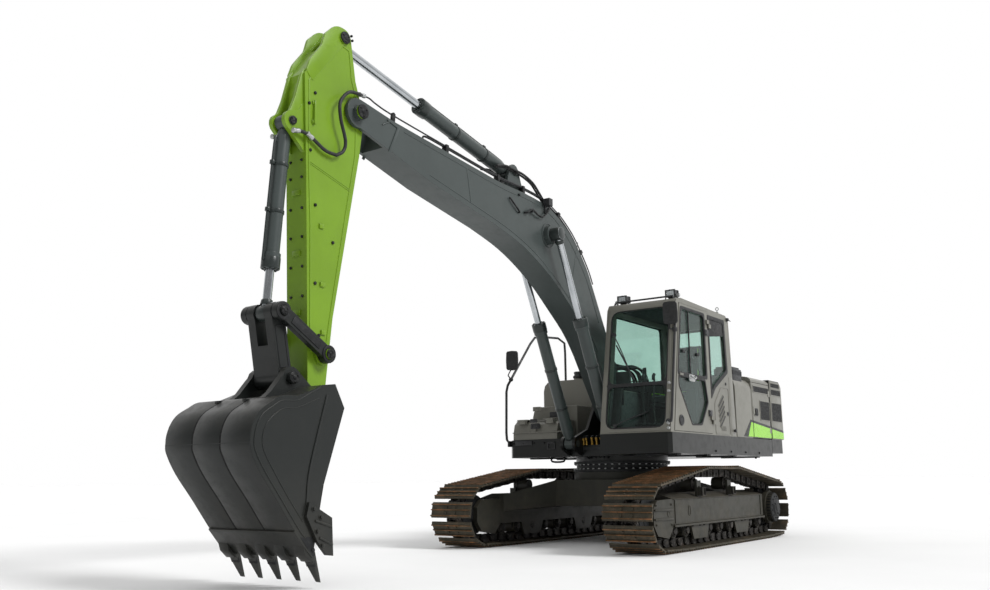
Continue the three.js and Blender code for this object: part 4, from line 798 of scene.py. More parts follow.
def make_cab_glazing():
    """Rubber round every pane, and the dark parts behind the glass."""
    kit = Kit()
    for pane in FRONT_PANES:
        seal(kit, pane, -14, 7, "front", 26, 6, 90)
    kit.prism(rect(497, 1306, 1898, 1932), -12, 9, "front")
    seal(kit, QUARTER, SIDE - 14, SIDE + 5, "xz", 40, 12, 40)
    kit.prism([(84, 2826), (-400, 2826), (-408, 2650), (84, 2590)], SIDE - 12, SIDE - 3)
    seal(kit, RIGHT_PANE, 434, 452, "xz", 20, 14, 60)
    rear = rect(550, 1253, 2150, 2800)
    seal(kit, rear, -660, -628, "yz", 12, 22, 50)
    kit.done("glazing_rubber", "upper", RUBBER, "trim", 3)
    seal(kit, DOOR_UPPER, DOOR_FACE - 18, DOOR_FACE + 4, "xz", 30, 8, 60)
    seal(kit, DOOR_LOWER, DOOR_FACE - 18, DOOR_FACE + 4, "xz", 14, 8, 40)
    kit.prism(rect(712, 730, 2060, 2830), DOOR_FACE - 20, DOOR_FACE - 4)
    for x in (470, 900):
        kit.box(x - 40, x + 40, DOOR_FACE - 22, DOOR_FACE - 4, 2300, 2336)
    kit.done("door_rubber", "cab_door", RUBBER, "trim", 3)


def make_cab_door_parts():
    """The handle, the round vent, the hinges and the inner grips."""
    kit = Kit()
    plate = rounded(rect(620, 800, 1962, 2046), 30)
    kit.prism(plate, DOOR_FACE - 2, DOOR_FACE + 5)
    kit.pipe([(650, DOOR_FACE + 2, 2026), (655, DOOR_FACE + 34, 2016), (710, DOOR_FACE + 40, 1990),
              (765, DOOR_FACE + 34, 2016), (770, DOOR_FACE + 2, 2026)], 9)
    kit.lathe((710, DOOR_FACE + 4, 2024), OUTWARD, [(17, 0), (17, 7), (13, 9)], 18)
    kit.done("door_handle", "cab_door", SILVER, "chrome", 1.5)
    x, z_vent = 1077, 1480
    kit.lathe((x, DOOR_FACE, z_vent), OUTWARD, [(64, -2), (64, 9), (52, 13), (46, 6), (40, 5)], 36)
    for k in range(7):
        z = z_vent - 36 + 12 * k
        half = math.sqrt(44 ** 2 - (z - z_vent) ** 2)
        kit.box(x - half, x + half, DOOR_FACE + 4, DOOR_FACE + 10, z - 2.5, z + 2.5)
    for z in (2624, 1603):
        kit.box(150, 250, DOOR_FACE, DOOR_FACE + 14, z - 38, z + 38)
        for dz in (-20, 20):
            kit.bolt((222, DOOR_FACE + 13, z + dz), OUTWARD, 8)
    for z in (1900, 2240):
        kit.pipe([(330, DOOR_FACE - 40, z - 120), (330, DOOR_FACE - 70, z - 90),
                  (330, DOOR_FACE - 70, z + 90), (330, DOOR_FACE - 40, z + 120)], 10)
    kit.done("door_vent_hinges", "cab_door", PLASTIC, "trim", 1.2)


LOUVRES = [[(x, z), (x - 22, z - 18), (x - 190, z + 122), (x - 168, z + 140)]
           for x, z in ((-95 - 8 * i, 1715 - 64 * i) for i in range(5))]
VENT_SLOTS = [rect(x - 4, x + 4, 1402, 1458) for x in (-180 - 44 * k for k in range(4))]


def make_louvre_panel():
    """The cab's lower rear panel: its edges, slot rims and plugs, with dark plates in the slots as painted
    shade of the openings.
    """
    outline = [(30, 1345), (-470, 1345), (-470, 1965), (-210, 1965), (30, 1740)]
    kit = Kit()
    kit.frame(rounded(outline, 36), rounded(inset(outline, 9), 34), SIDE - 2, SIDE + 4)
    kit.frame(rounded(inset(outline, 13), 34), rounded(inset(outline, 16), 34), SIDE - 2, SIDE + 3)
    for slot in LOUVRES:
        kit.frame(inset(slot, -8), inset(slot, -1), SIDE - 2, SIDE + 6)
    for slot in VENT_SLOTS:
        kit.frame(inset(slot, -4), slot, SIDE - 2, SIDE + 3)
    kit.prism(rounded(rect(-640, -500, 1345, 2120), 24), SIDE - 1, SIDE + 2)
    kit.done("louvre_panel", "upper", TAUPE, "body_paint", 1.2)
    # Dark plates filling the louvre and vent slots: painted shade of the openings.
    for slot in LOUVRES + VENT_SLOTS:
        kit.prism(slot, SIDE - 1, SIDE + 1.5)
    kit.lathe((-386, SIDE, 2015), OUTWARD, [(20, -2), (20, 6), (12, 10)], 20)
    kit.lathe((-414, SIDE + 1, 1625), OUTWARD, [(26, 0), (26, 6), (10, 7), (10, 10)], 24)
    kit.lathe((-600, SIDE, 1413), OUTWARD, [(16, -2), (16, 14), (22, 16), (22, 30), (12, 34)], 16)
    kit.lathe((-543, SIDE, 2890), OUTWARD, [(26, -2), (26, 12), (20, 30), (8, 34)], 20)
    kit.pipe([(-655, SIDE + 12, 2885), (-600, SIDE + 18, 2885), (-545, SIDE + 16, 2890)], 6)
    kit.done("louvre_slot_shade_and_plugs", "upper", PLASTIC, "trim", 0.8)


LAMP_Y = (570, 1233)


def make_cab_front_parts():
    """The front rail, roof rail, lamps, knobs and wipers."""
    kit = Kit()
    rail = [(front_x(z) + away, y, z_to) for z, away, y, z_to in (
        (1459, 6, 1330, 1459), (1470, 50, 1372, 1470), (1500, 62, 1398, 1510), (2100, 62, 1398, 2100),
        (2700, 62, 1398, 2700), (2765, 56, 1378, 2765), (2830, 30, 1330, 2815), (2848, 2, 1305, 2830))]
    kit.pipe(rail, 15, 12, 8)
    for away, y, z in ((2, 1326, 1459), (0, 1305, 2830)):
        kit.lathe((front_x(z) + away, y, z), (1, 0, 0.18), [(30, -4), (30, 6), (18, 12)], 18)
    kit.lathe((front_x(2540) + 60, 1398, 2540), UP, [(26, -26), (30, -20), (30, 20), (26, 26)], 16)
    piece = kit.done("cab_front_rail", "upper", PLASTIC, "trim", 0)
    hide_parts("cab_handrail")
    kit.pipe([(1000, 500, 2958), (985, 512, 2990), (982, 560, 2994), (982, 900, 2994), (982, 1240, 2994),
              (985, 1290, 2990), (1000, 1302, 2958)], 11, 10, 8)
    for y in LAMP_Y:
        kit.pipe([(850, y, 3060), (820, y - 60, 3110), (800, y - 110, 3060), (830, y - 120, 2970)], 5, 8, 8)
        for k in range(5):
            kit.box(860 - 10 * k, 864 - 10 * k, y - 64, y + 64, 2998, 3084)
        kit.frame(rect(y - 66, y + 66, 2992, 3086),
                  rect(y - 52, y + 52, 3004, 3074), 924, 940, "yz")
        for way in (-1, 1):
            inner, outer = y + 64 * way, y + 74 * way
            kit.pipe([(900, inner, 3030), (900, outer, 3000), (900, outer, 2975)], 6, 8, 4)
    kit.done("roof_rail", "upper", PLASTIC, "trim", 1)
    for y in LAMP_Y:
        kit.prism(rounded(rect(y - 52, y + 52, 3004, 3074), 8), 926, 932, "yz")
        for k in range(6):
            at = (932, y - 32 + 32 * (k % 3), 3023 + 32 * (k // 3))
            kit.lathe(at, FORWARD, [(13, -2), (13, 1), (6, 4)], 14)
    kit.done("lamp_glass", "upper", LENS, "chrome", 1)
    for x, y in ((900, 1325), (-330, 1325), (-330, 480), (900, 480)):
        kit.lathe((x, y, 2960), UP, [(17, 0), (17, 14), (10, 18), (8, 34)], 14)
        turns = [math.pi * k / 6 for k in range(13)]
        loop = [(x, y + 20 * math.sin(t), 3012 - 20 * math.cos(t)) for t in turns]
        kit.pipe(loop, 6, 8, 2)
    for y, z in ((1326, 1905), (1326, 1810), (1333, 1436), (1340, 1377)):
        kit.lathe((front_x(z), y, z), (1, 0, FRONT_LEAN), [(17, -2), (17, 5), (11, 8), (11, 20), (17, 22),
                                                           (15, 28)], 16)
    kit.done("cab_knobs", "upper", SILVER, "chrome", 1)
    pivot = Vector((front_x(2560) + 14, 560, 2560))
    kit.lathe(pivot, (1, 0, FRONT_LEAN), [(26, -20), (26, 8), (14, 14)], 16)
    kit.pipe([pivot + Vector((10, 0, 0)), (front_x(2330) + 30, 690, 2330), (front_x(2090) + 22, 800, 2090)],
             7, 8)
    kit.pipe([(front_x(2420) + 10, 600, 2420), (front_x(2090) + 8, 800, 2090),
              (front_x(1960) + 8, 872, 1975)], 9, 6)
    low = Vector((front_x(1425) + 14, 640, 1425))
    kit.lathe(low, (1, 0, FRONT_LEAN), [(22, -20), (22, 8), (12, 12)], 16)
    kit.pipe([low + Vector((8, 0, 0)), (front_x(1500) + 22, 820, 1500), (front_x(1560) + 14, 1010, 1560)],
             6, 8)
    kit.pipe([(front_x(1500) + 8, 840, 1500), (front_x(1580) + 8, 1060, 1580)], 8, 6)
    kit.done("wipers", "upper", PLASTIC, "trim", 0)


def make_cab_inside():
    """Lining, floor mat, monitor, and the consoles' pads and levers' grips."""
    kit = Kit()
    kit.prism([(-628, 1440), (1270, 1440), (1175, 1890), (-606, 1890)], 492, 505)
    kit.prism(rect(506, 1297, 1392, 2140), -626, -606, "yz")
    roof = [(930, 500), (930, 1305), (-560, 1305), (-560, 500)]
    kit.prism(roof, 2888, 2906, "xy")
    for y0, y1 in ((492, 508), (1296, 1310)):
        kit.prism([(-600, 2130), (-560, 2130), (-545, 2890), (-585, 2890)], y0, y1)
    kit.done("cab_lining", "upper", LINING, "trim", 4)
    kit.prism(rounded(rect(-560, 1290, 505, 1300), 60), 1387, 1397, "xy")
    for k in range(18):
        x = 470 + 44 * k
        kit.box(x, x + 16, 560, 1245, 1396, 1401)
    kit.done("cab_floor_mat", "upper", RUBBER, "trim", 2)
    kit.prism(rounded(rect(505, 690, 1960, 2110), 16), 1000, 1040, "yz")
    kit.box(1010, 1030, 560, 590, 1700, 1970)
    kit.prism([(1180, 1440), (1225, 1440), (1110, 1900), (1085, 1900)], 506, 620)
    for at in (CAB_Y - 320, CAB_Y + 320):
        kit.prism(rounded(rect(-30, 450, at - 52, at + 52), 24), 1990, 2006, "xy")
        for k in range(5):
            kit.lathe((40 + 50 * k, at + 20, 2004), UP, [(12, 0), (12, 5), (9, 8)], 12)
        kit.lathe((400, at, 2018), UP, [(44, -14), (40, 0), (30, 18), (20, 30), (18, 60)], 18)
        kit.pipe([(400, at, 2080), (402, at, 2130), (392, at, 2190), (398, at, 2216)], 25, 12, 4)
    for y in (CAB_Y - 70, CAB_Y + 70):
        kit.pipe([(960, y, 1990), (950, y, 2040), (930, y, 2062)], 20, 10)
    kit.done("cab_controls", "upper", PLASTIC, "trim", 2)


make_cab_glazing()
make_cab_door_parts()
make_louvre_panel()
make_cab_front_parts()
make_cab_inside()


# ---------------------------------------------------------------- body panels
def grille(kit, outline, plane, t0, t1):
    """The pressed frame round a screen."""
    kit.frame(rounded(inset(outline, -12), 16), rounded(inset(outline, 2), 12), t0, t1, plane)


def screen(kit, x0, x1, z0, z1, y, side, pitch=15):
    """A side screen: a dark back plate, painted shade of the opening behind it, and its crossing bars."""
    # The back plate: painted shade of the opening behind the bars.
    kit.box(x0, x1, side * (y - 1), side * (y + 0.6), z0, z1)
    count = max(2, int((z1 - z0) / pitch))
    for k in range(count):
        z = z0 + (k + 0.5) * (z1 - z0) / count
        kit.box(x0, x1, side * y, side * (y + 3.4), z - 2.2, z + 2.2)
    count = max(2, int(abs(x1 - x0) / (pitch * 1.6)))
    for k in range(count):
        x = x0 + (k + 0.5) * (x1 - x0) / count
        kit.box(x - 2.2, x + 2.2, side * y, side * (y + 2.6), z0, z1)


def framed_screens(kit, dark, boxes, y, side):
    for x0, x1, z0, z1 in boxes:
        grille(kit, rect(x0, x1, z0, z1), "xz", side * (y - 2), side * (y + 5))
        screen(dark, x0, x1, z0, z1, y, side)


# Black of the screens' bars and latches; their back plates are painted shade of the openings.
SCREEN = rubber("screen_black", (20, 21, 22), 0.55)


def side_panels(side, body, x_front, tag):
    """A side door's own grilles, latch and seams."""
    kit, dark = Kit(), Kit()
    framed_screens(kit, dark, ((x_front - 75, -2022, 1985, 2068), (-1640, -2022, 1604, 1870)), SIDE, side)
    latch = rounded(rect(x_front - 80, x_front - 215, 1650, 1757), 18)
    dark.prism(latch, side * (SIDE - 1), side * (SIDE + 5))
    dark.prism(inset(latch, 22), side * (SIDE + 4), side * (SIDE + 15))
    kit.frame(inset(latch, -9), inset(latch, 1), side * (SIDE - 1), side * (SIDE + 6))
    kit.prism(rounded(rect(x_front - 18, x_front - 48, 1360, 2096), 10),
              side * (SIDE - 1), side * (SIDE + 3))
    kit.done(f"panel_{tag}", body, TAUPE, "body_paint", 1.5)
    dark.done(f"panel_dark_{tag}", body, SCREEN, "trim", 0)


def tail_covers():
    """The painted covers on both sides of the counterweight, with a grille each."""
    kit, dark = Kit(), Kit()
    for side in (1, -1):
        outline = rounded([(-2068, 1344), (-2560, 1344), (-2572, 1480), (-2572, 2120), (-2500, 2186),
                           (-2068, 2196)], 24)
        kit.prism(outline, side * (SIDE - 4), side * (SIDE + 6))
        screens = ((-2106, -2520, 1985, 2068), (-2106, -2528, 1604, 1870), (-2106, -2480, 2096, 2160))
        framed_screens(kit, dark, screens, SIDE + 6, side)
    kit.done("tail_covers", "upper", TAUPE, "body_paint", 2)
    dark.done("tail_screens", "upper", SCREEN, "trim", 0)


def strip_top(x):
    """The green strip's upper edge, which falls towards the tail."""
    return 1585 + (x + 1291) * 0.0819


def strip_piece(name, body, side, y, borders, green):
    """A stretch of the strip: its black borders, each with an outer rise, and the green inside them."""
    tag = "left" if side > 0 else "right"
    dark, bright = Kit(), Kit()
    for corners, rise in borders:
        dark.prism(corners, *sorted((side * (y - 2), side * (y + 2 + rise))))
    bright.prism(green, *sorted((side * (y + 1.5), side * (y + 4))))
    dark.done(f"strip_border_{name}_{tag}", body, PLASTIC, "trim", 0)
    bright.done(f"strip_{name}_{tag}", body, LIVERY, "arm_paint", 0)


def green_strip():
    top, low = strip_top, 1352
    strip_piece("housing", "upper", 1, SIDE, (
        ([(-1100, low), (-1316, low), (-1316, top(-1316)), (-1264, top(-1264))], 0),
        ([(-950, low), (-1110, low), (-1272, top(-1272)), (-1240, top(-1240))], 1)),
        [(-1112, 1356), (-1315, 1356), (-1315, top(-1315) - 34), (-1252, top(-1252) - 34)])
    for side, door, x_door in ((1, "cooler_door", -1330), (-1, "pump_door", -1560)):
        for name, body, lift, x0, x1, x2 in (("door", door, 3, x_door, -2034, -2034),
                                             ("tail", "upper", 6, -2069, -2562, -2568)):
            border = [(x0, low), (x1, low), (x2, top(x2)), (x0, top(x0))]
            green = [(x0 - 1, low + 4), (x1 + 1, low + 4), (x2 + 1, top(x2) - 34), (x0 - 1, top(x0) - 34)]
            strip_piece(name, body, side, SIDE + lift, ((border, 0),), green)


def make_hood_parts():
    """The hood's vents, handles and rests, and the clamp round the exhaust."""
    kit, dark = Kit(), Kit()
    for x0, x1, sides in ((-1380, -1540, (1,)), (-1570, -1730, (1, -1)), (-1760, -1920, (1, -1))):
        for y in (side * 900 for side in sides):
            outline = rect(x0, x1, y - 240, y + 240)
            kit.frame(rounded(inset(outline, -10), 16), rounded(inset(outline, 2), 12), 2202, 2211, "xy")
            # A dark plate under each vent's bars: painted shade of the opening.
            dark.prism(outline, 2203, 2205.5, "xy")
            for k in range(8):
                x = x0 + (k + 0.5) * (x1 - x0) / 8
                dark.box(x - 3, x + 3, y - 240, y + 240, 2205, 2209)
    for y in (-420, 420):
        kit.pipe([(-1300, y - 70, 2203), (-1300, y - 66, 2236), (-1300, y + 66, 2236),
                  (-1300, y + 70, 2203)], 10, 10, 4)
        kit.lathe((-1940, y, 2204), UP, [(40, -2), (40, 8), (28, 12)], 20)
    kit.done("hood_parts", "engine_hood", TAUPE, "body_paint", 1.5)
    dark.done("hood_screens", "engine_hood", SCREEN, "trim", 0)
    kit.lathe((-1040, 250, 2160), UP, [(78, 0), (78, 24), (70, 28), (66, 30)], 28)
    for x, y in circle(-1040, 250, 104, 6):
        kit.bolt((x, y, 2160), UP, 9)
    kit.done("exhaust_clamp", "upper", CAST, "cast_parts", 1)


def make_housing_top():
    """The black box on the left housing."""
    kit = Kit()
    outline = rounded(rect(-715, -1110, 1060, 1330), 60)
    kit.prism(outline, 2090, 2262, "xy")
    kit.prism(inset(outline, 26), 2255, 2290, "xy")
    for k in range(9):
        kit.box(-1080 + 40 * k, -1064 + 40 * k, 1322, 1334, 2176, 2240)
    kit.done("housing_top_box", "upper", PLASTIC, "trim", 8)


REAR_RADIUS = 2892   # the counterweight's round back, with the pipes' middles in its face


def make_counterweight_parts():
    """Lifting eyes, edge beads, tail lamps and plugs."""
    kit, dark = Kit(), Kit()
    for y in (-700, 700):
        kit.lathe((-2560, y, 2196), UP, [(60, -4), (60, 8), (40, 12)], 24)
        loop = [(-2560, y + 52 * math.cos(math.pi * k / 8), 2206 + 62 * math.sin(math.pi * k / 8))
                for k in range(9)]
        kit.pipe(loop, 15, 12, 2)
    for z in (2010, 1330):
        line = [(x, y, z) for x, y in arc((0, 0), REAR_RADIUS, 155, 205, 26)]
        kit.pipe(line, 7, 8, 1, curved=False)
    for y in (-1010, 1010):
        x = -math.sqrt(2900 ** 2 - y * y)
        away = (-1, math.copysign(0.33, -y), 0)
        dark.lathe((x - 2, y, 1500), away, [(52, -14), (52, 12), (44, 18), (12, 22)], 26)
        kit.lathe((x - 2, y, 1500), away, [(66, -14), (66, 4), (56, 8)], 26)
    for y in (-260, 260):
        kit.lathe((-2898, y, 1640), BACK, [(34, -12), (34, 0), (20, 1.2)], 20)
    kit.done("counterweight_parts", "upper", SKIRT_GREY, "boom_paint", 1.5)
    dark.done("tail_lamps", "upper", LENS, "trim", 1)


side_panels(1, "cooler_door", -1325, "left")
side_panels(-1, "pump_door", -1545, "right")
tail_covers()
green_strip()
make_hood_parts()
make_housing_top()
make_counterweight_parts()


# ---------------------------------------------------------------- right-hand side of the upper structure
FILLER = (-420, -880)   # the filler cap's middle on the right-hand tank


def make_right_side():
    """Steps, filler, toolbox parts and the bolts under the skirt."""
    kit = Kit()
    for k in range(4):
        kit.box(-180, 120, -1290 + 150 * k, -1270 + 150 * k, 1806, 1813)
    kit.lathe((*FILLER, 2200), UP, [(86, 0), (86, 18), (70, 24), (64, 46)], 28)
    kit.prism(rounded(rect(-1240, -1060, -1240, -700), 40), 2208, 2222, "xy")
    for y in (-1230, -700):
        for x in (-1230, -1070):
            kit.bolt((x, y, 2218), UP, 10)
    kit.done("right_side_panels", "upper", TAUPE, "body_paint", 3)
    kit.lathe((*FILLER, 2244), UP, [(70, 0), (74, 4), (74, 34), (64, 42)], 28)
    for x, y in circle(*FILLER, 74, 10):
        kit.box(x - 5, x + 5, y - 5, y + 5, 2248, 2280)
    kit.prism(rounded(rect(-1010, -900, 1560, 1612), 12), 683, 692, "yz")
    for k in range(7):
        y = -1290 + 78 * k
        kit.box(-100, 120, y, y + 14, 1808, 1818)
    kit.done("right_side_dark", "upper", PLASTIC, "trim", 2)
    for k in range(5):
        kit.box(300 + 68 * k, 318 + 68 * k, -1300, -620, 1592, 1598.5)
    for y in (-1180, -760):
        kit.prism(rounded(rect(300, 640, y - 90, y + 90), 40), 1598, 1612, "xy")
    for y0, y1 in ((-1206, -1085), (-760, -640)):
        kit.prism(rounded(rect(640, 694, y0, y1), 12), 1545, 1603, "xy")
    kit.done("toolbox_ribs", "toolbox_lid", TAUPE, "body_paint", 4)
    kit.prism(rounded(rect(-1003, -860, 1478, 1552), 10), 676, 690, "yz")
    kit.frame(rounded(rect(-985, -880, 1490, 1540), 8),
              rounded(rect(-977, -888, 1498, 1532), 6), 688, 697, "yz")
    kit.lathe((690, -905, 1512), FORWARD, [(11, -2), (11, 5), (5, 6)], 16)
    kit.done("toolbox_latch", "toolbox_lid", PLASTIC, "trim", 1.5)
    for y0, y1 in ((-1210, -1095), (-820, -700)):
        kit.prism(rounded(rect(268, 312, y0, y1), 10), 1745, 1806, "xy")
    kit.prism(rect(-1300, -510, 1425, 1440), 680, 690, "yz")
    kit.done("tool_step_pads", "upper", TAUPE, "body_paint", 4)
    kit.prism(rounded(rect(-935, -775, 1650, 1722), 10), 292, 306, "yz")
    kit.box(640, 692, -1256, -984, 1262, 1322)
    kit.frame(rect(-742, -622, 1198, 1290),
              rect(-726, -638, 1212, 1276), 682, 691, "yz")
    kit.lathe((*FILLER, 2240), UP, [(60, 0), (60, 70), (66, 74), (66, 96), (52, 102)], 24)
    kit.done("right_side_fittings", "upper", PLASTIC, "trim", 2)
    for k in range(6):
        kit.bolt((681, -1290 + 164 * k, 1290), FORWARD, 11)
    for k in range(4):
        for side in (1, -1):
            kit.bolt((-1500 + 520 * k, side * SIDE, 1140), (0, side, 0), 11)
    kit.pipe([(640, -700, 1105), (640, -700, 1040), (640, -520, 1040), (640, -520, 1105)], 13, 10, 3)
    for x in (-1800, -900, 0, 900):
        kit.box(x - 60, x + 60, 700, 1240, 1080, 1098)
        kit.bolt((x, 1200, 1082), DOWN, 14)
    for x in (-1500, -400, 300):
        kit.box(x - 50, x + 50, -1240, -700, 1080, 1098)
    kit.done("skirt_bits", "upper", BOLT, "cast_parts", 1)


make_right_side()


# ---------------------------------------------------------------- front
ARM_SIDE = 122     # the arm's side plate, half the width
BOOM_SIDE = 168
BUCKET_SIDE = 499
PIN = {"foot": (225, 1705), "tip": (5355, 4195), "K": (2030, 3710), "F": (820, 1260), "G": (2650, 4360),
       "U": (5520, 4895), "BC": (6100, 3900), "D": (6225, 2190), "A1": (5700, 1885), "B": (5750, 1372),
       "C": (6115, 1650)}


def pin_cap(kit, name, y, radius):
    """A pin's end cover with its three bolts, on both sides of the machine."""
    x, z = PIN[name]
    for side in (1, -1):
        kit.lathe((x, side * y, z), (0, side, 0), [(radius, -3), (radius, 7), (radius - 5, 11)], 28)
        kit.lathe((x, side * y, z), (0, side, 0), [(radius * 0.35, 8), (radius * 0.35, 14),
                                                   (radius * 0.2, 16)], 14)
        for u, w in circle(x, z, radius * 0.66, 3, 0.5):
            kit.bolt((u, side * (y + 10), w), (0, side, 0), 8)


ARM_STUDS = ((5865, 4229), (5933, 4111), (5904, 3681), (5824, 3197), (5800, 2500), (5740, 2050), (5600, 2900))


def arm_front(z):
    """The arm's front plate at a height."""
    return 5852 + (z - 1700) * 88 / 1770


def make_pins():
    """Pin covers on each body, and the arm's studs."""
    kit = Kit()
    for body, caps in (("arm", (("U", 140, 60), ("tip", 230, 70), ("A1", 231, 43), ("B", 228, 43))),
                       ("bucket", (("C", 246, 52),)), ("guide_links", (("D", 230, 40),)),
                       ("boom", (("foot", 260, 57), ("K", 230, 80))), ("bucket_barrel", (("BC", 112, 38),)),
                       ("arm_barrel", (("G", 112, 38),))):
        for name, y, radius in caps:
            pin_cap(kit, name, y, radius)
        kit.done(f"pin_caps_{body}", body, BOLT, "cast_parts", 1.2)
    x, z = PIN["U"]
    for side in (1, -1):
        for t in (2.6, 3.1):
            at = (x + 88 * math.cos(t), side * 138, z + 88 * math.sin(t))
            kit.lathe(at, (0, side, 0), [(12, -2), (12, 14), (8, 17)], 14)
        for u, w in ARM_STUDS:
            kit.lathe((u, side * ARM_SIDE, w), (0, side, 0), [(15, -3), (15, 10), (9, 16)], 14)
    for z in (3588, 3434, 3157, 2900, 2640, 2380):
        for y in (-70, 70):
            kit.lathe((arm_front(z), y, z), FORWARD, [(13, -4), (13, 10), (8, 16)], 14)
    kit.done("arm_bolts", "arm", BOLT, "chrome", 1)


ARM_EDGE = [(5840, 1900), (5880, 3000), (5918, 3540), (5945, 4330), (5600, 4830), (5440, 4800), (5400, 4520),
            (5330, 4330), (5330, 3790), (5440, 3180), (5600, 2240), (5650, 1900)]


ARM_LOBE = [(5450, 4905), (5468, 4955), (5514, 4987), (5590, 4987), (5655, 4962), (5764, 4850), (5800, 4720),
            (5934, 4538), (5981, 4407), (5900, 4330), (5560, 4780)]
ARM_GUSSET = [(5960, 4450), (6006, 4380), (6071, 4132), (6118, 4006), (6140, 3975), (6060, 3900),
              (5960, 3930)]


def make_arm_parts():
    """The arm's weld beads, seams, lugs, head lobes and cylinder gussets."""
    kit = Kit()
    for side in (1, -1):
        kit.frame(ARM_EDGE, inset(ARM_EDGE, 14), side * 121, side * 127)
        for (ax, az), (bx, bz) in (((5915, 3580), (5385, 3443)), ((5908, 3560), (5388, 3425))):
            kit.rod((ax, side * ARM_SIDE, az), (bx, side * ARM_SIDE, bz), 5, 8)
        kit.box(5864, 5882, side * 120, side * 148, 3930, 4150)
        for z in (3950, 4130):
            kit.box(5851, 5895, side * 120, side * 134, z - 16, z + 16)
        for z in (3020, 2500, 2080):
            x = 5690 + (z - 2080) * 0.06
            kit.box(x - 26, x + 26, side * 120, side * 136, z - 20, z + 20)
        kit.prism(rounded(ARM_LOBE, 26), side * 98, side * 128)
        kit.prism(rounded(ARM_GUSSET, 14), side * 64, side * 96)
    kit.prism([(5972, 4384), (6012, 4200), (6016, 3960), (5980, 3940)], -64, 64)
    for z in (3300, 2760, 2240):
        kit.box(arm_front(z) - 4, arm_front(z) + 14, -46, 46, z - 24, z + 24)
    kit.done("arm_trim", "arm", LIME, "arm_paint", 2)


BOOM_TOP = [(980, 3255), (1084, 3420), (1260, 3620), (1428, 3782), (1600, 3900), (1767, 3985), (2100, 4090),
            (2542, 4123), (3054, 4127), (4000, 4204), (4854, 4275)]


def lifted(path, distance):
    """A path moved to its left by a distance."""
    made = []
    for i, point in enumerate(path):
        ahead = Vector(path[min(i + 1, len(path) - 1)]) - Vector(path[max(i - 1, 0)])
        normal = Vector((-ahead.y, ahead.x)).normalized()
        made.append(Vector(point) + normal * distance)
    return made


def make_boom_parts():
    """The pipes along the boom's top with their clamps, and its weld beads and bosses."""
    kit = Kit()
    line = lifted(BOOM_TOP, 66)
    for y in (-148, -120, 120, 148):
        points = [(p.x, y, p.y) for p in line]
        if abs(y) > 130:
            points += [(5090, y, 4376), (5190, y, 4402), (5280, y, 4398)]
        else:
            points[-1:] = [(4300, y, 4290), (4360, y, 4262), (4380, y, 4220)]
        kit.pipe(points, 11 if abs(y) < 130 else 8, 10, 5)
    kit.done("boom_pipes", "boom", PLASTIC, "tube_black", 0)
    for i in (2, 5, 7, 8, 9, 10):
        p, base = line[i], Vector(BOOM_TOP[i])
        ahead = (Vector(BOOM_TOP[min(i + 1, 10)]) - Vector(BOOM_TOP[i - 1])).normalized()
        normal = Vector((-ahead.y, ahead.x))
        for side in (1, -1):
            corners = [base - ahead * 22 - normal * 4, base + ahead * 22 - normal * 4,
                       base + ahead * 22 + normal * 84, base - ahead * 22 + normal * 84]
            kit.prism([tuple(c) for c in corners], side * (102 if i < 10 else 136), side * 164)
            top = base + normal * 84
            kit.bolt((top.x, side * (132 if i < 10 else 156), top.y), (normal.x, 0, normal.y), 9)
    kit.done("boom_pipe_clamps", "boom", BOLT, "cast_parts", 2)
    side_edge = [(300, 1900), (830, 2790), (1130, 3320), (1470, 3690), (1790, 3905), (2110, 4020),
                 (2550, 4060), (3060, 4065), (4700, 4205), (5150, 4220), (5130, 4110), (4300, 3870),
                 (3180, 3670), (2680, 3555), (2250, 3400), (1870, 3200), (1500, 2950), (1140, 2690),
                 (880, 2410), (400, 1850)]
    for side in (1, -1):
        for path in (side_edge[1:9], side_edge[11:19]):
            kit.pipe([(x, side * 169.5, z) for x, z in path], 5, 6, 4)
        for x0, z0, x1, z1 in ((1560, 3010, 1320, 3770), (3600, 3745, 3670, 4120)):
            kit.rod((x0, side * 169.5, z0), (x1, side * 169.5, z1), 5, 6)
        nose = [(4950, 4272), (4772, 4228), (4905, 3930), (4935, 3940), (4812, 4214), (4960, 4250)]
        kit.prism(nose, side * BOOM_SIDE, side * 178)
        kit.rod((5025, side * 171, 4183), (4925, side * 171, 4245), 8, 8)
        kit.frame(*eye_ring(PIN["K"], 150, 138), side * BOOM_SIDE, side * 178)
        kit.frame(*eye_ring(PIN["foot"], 128, 70), side * BOOM_SIDE, side * 182)
    kit.done("boom_welds", "boom", BOOM_GREY, "boom_paint", 1)


FOOT_HOSES = (-90, -45, 0, 45, 90, 132)   # where each hose at the boom's foot lies across the machine
VALVE_ENDS = ((-185, 1285), (-142, 1290), (-60, 1292), (8, 1290), (72, 1288), (132, 1285))


def make_foot_hoses():
    """The hoses from the upper structure to the pipes on the boom."""
    kit = Kit()
    for i, y in enumerate(FOOT_HOSES):
        drop = 26 * (i % 2)
        kit.pipe([(-640, y, 2080), (-610, y, 2190 - drop), (-500, y * 1.05, 2290 - drop),
                  (-250, y * 1.1, 2330 - drop), (60, y * 1.1, 2300 - drop), (350, y, 2330 - drop),
                  (520, y, 2478)], 17, 12, 8)
    hose = kit.done("boom_hoses", None, RUBBER, "tube_black", 0)
    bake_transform(hose)
    for y in FOOT_HOSES:
        kit.lathe((-642, y, 2050), (0.1, 0, 1), [(24, -30), (24, 6), (20, 10), (20, 34)], 12)
    kit.box(-700, -590, -150, 180, 2000, 2046)
    kit.done("hose_block", "upper", CAST, "chrome", 1)
    for y in FOOT_HOSES:
        kit.lathe((520, y, 2478), (0.84, 0, 0.54), [(24, -24), (24, 4), (19, 8), (19, 40)], 12)
        kit.pipe([(540, y, 2492), (640, y, 2650), (760, y, 2880), (980, y * 1.1, 3262)], 12, 10, 5)
    kit.done("hose_ends_boom", "boom", CAST, "chrome", 1)


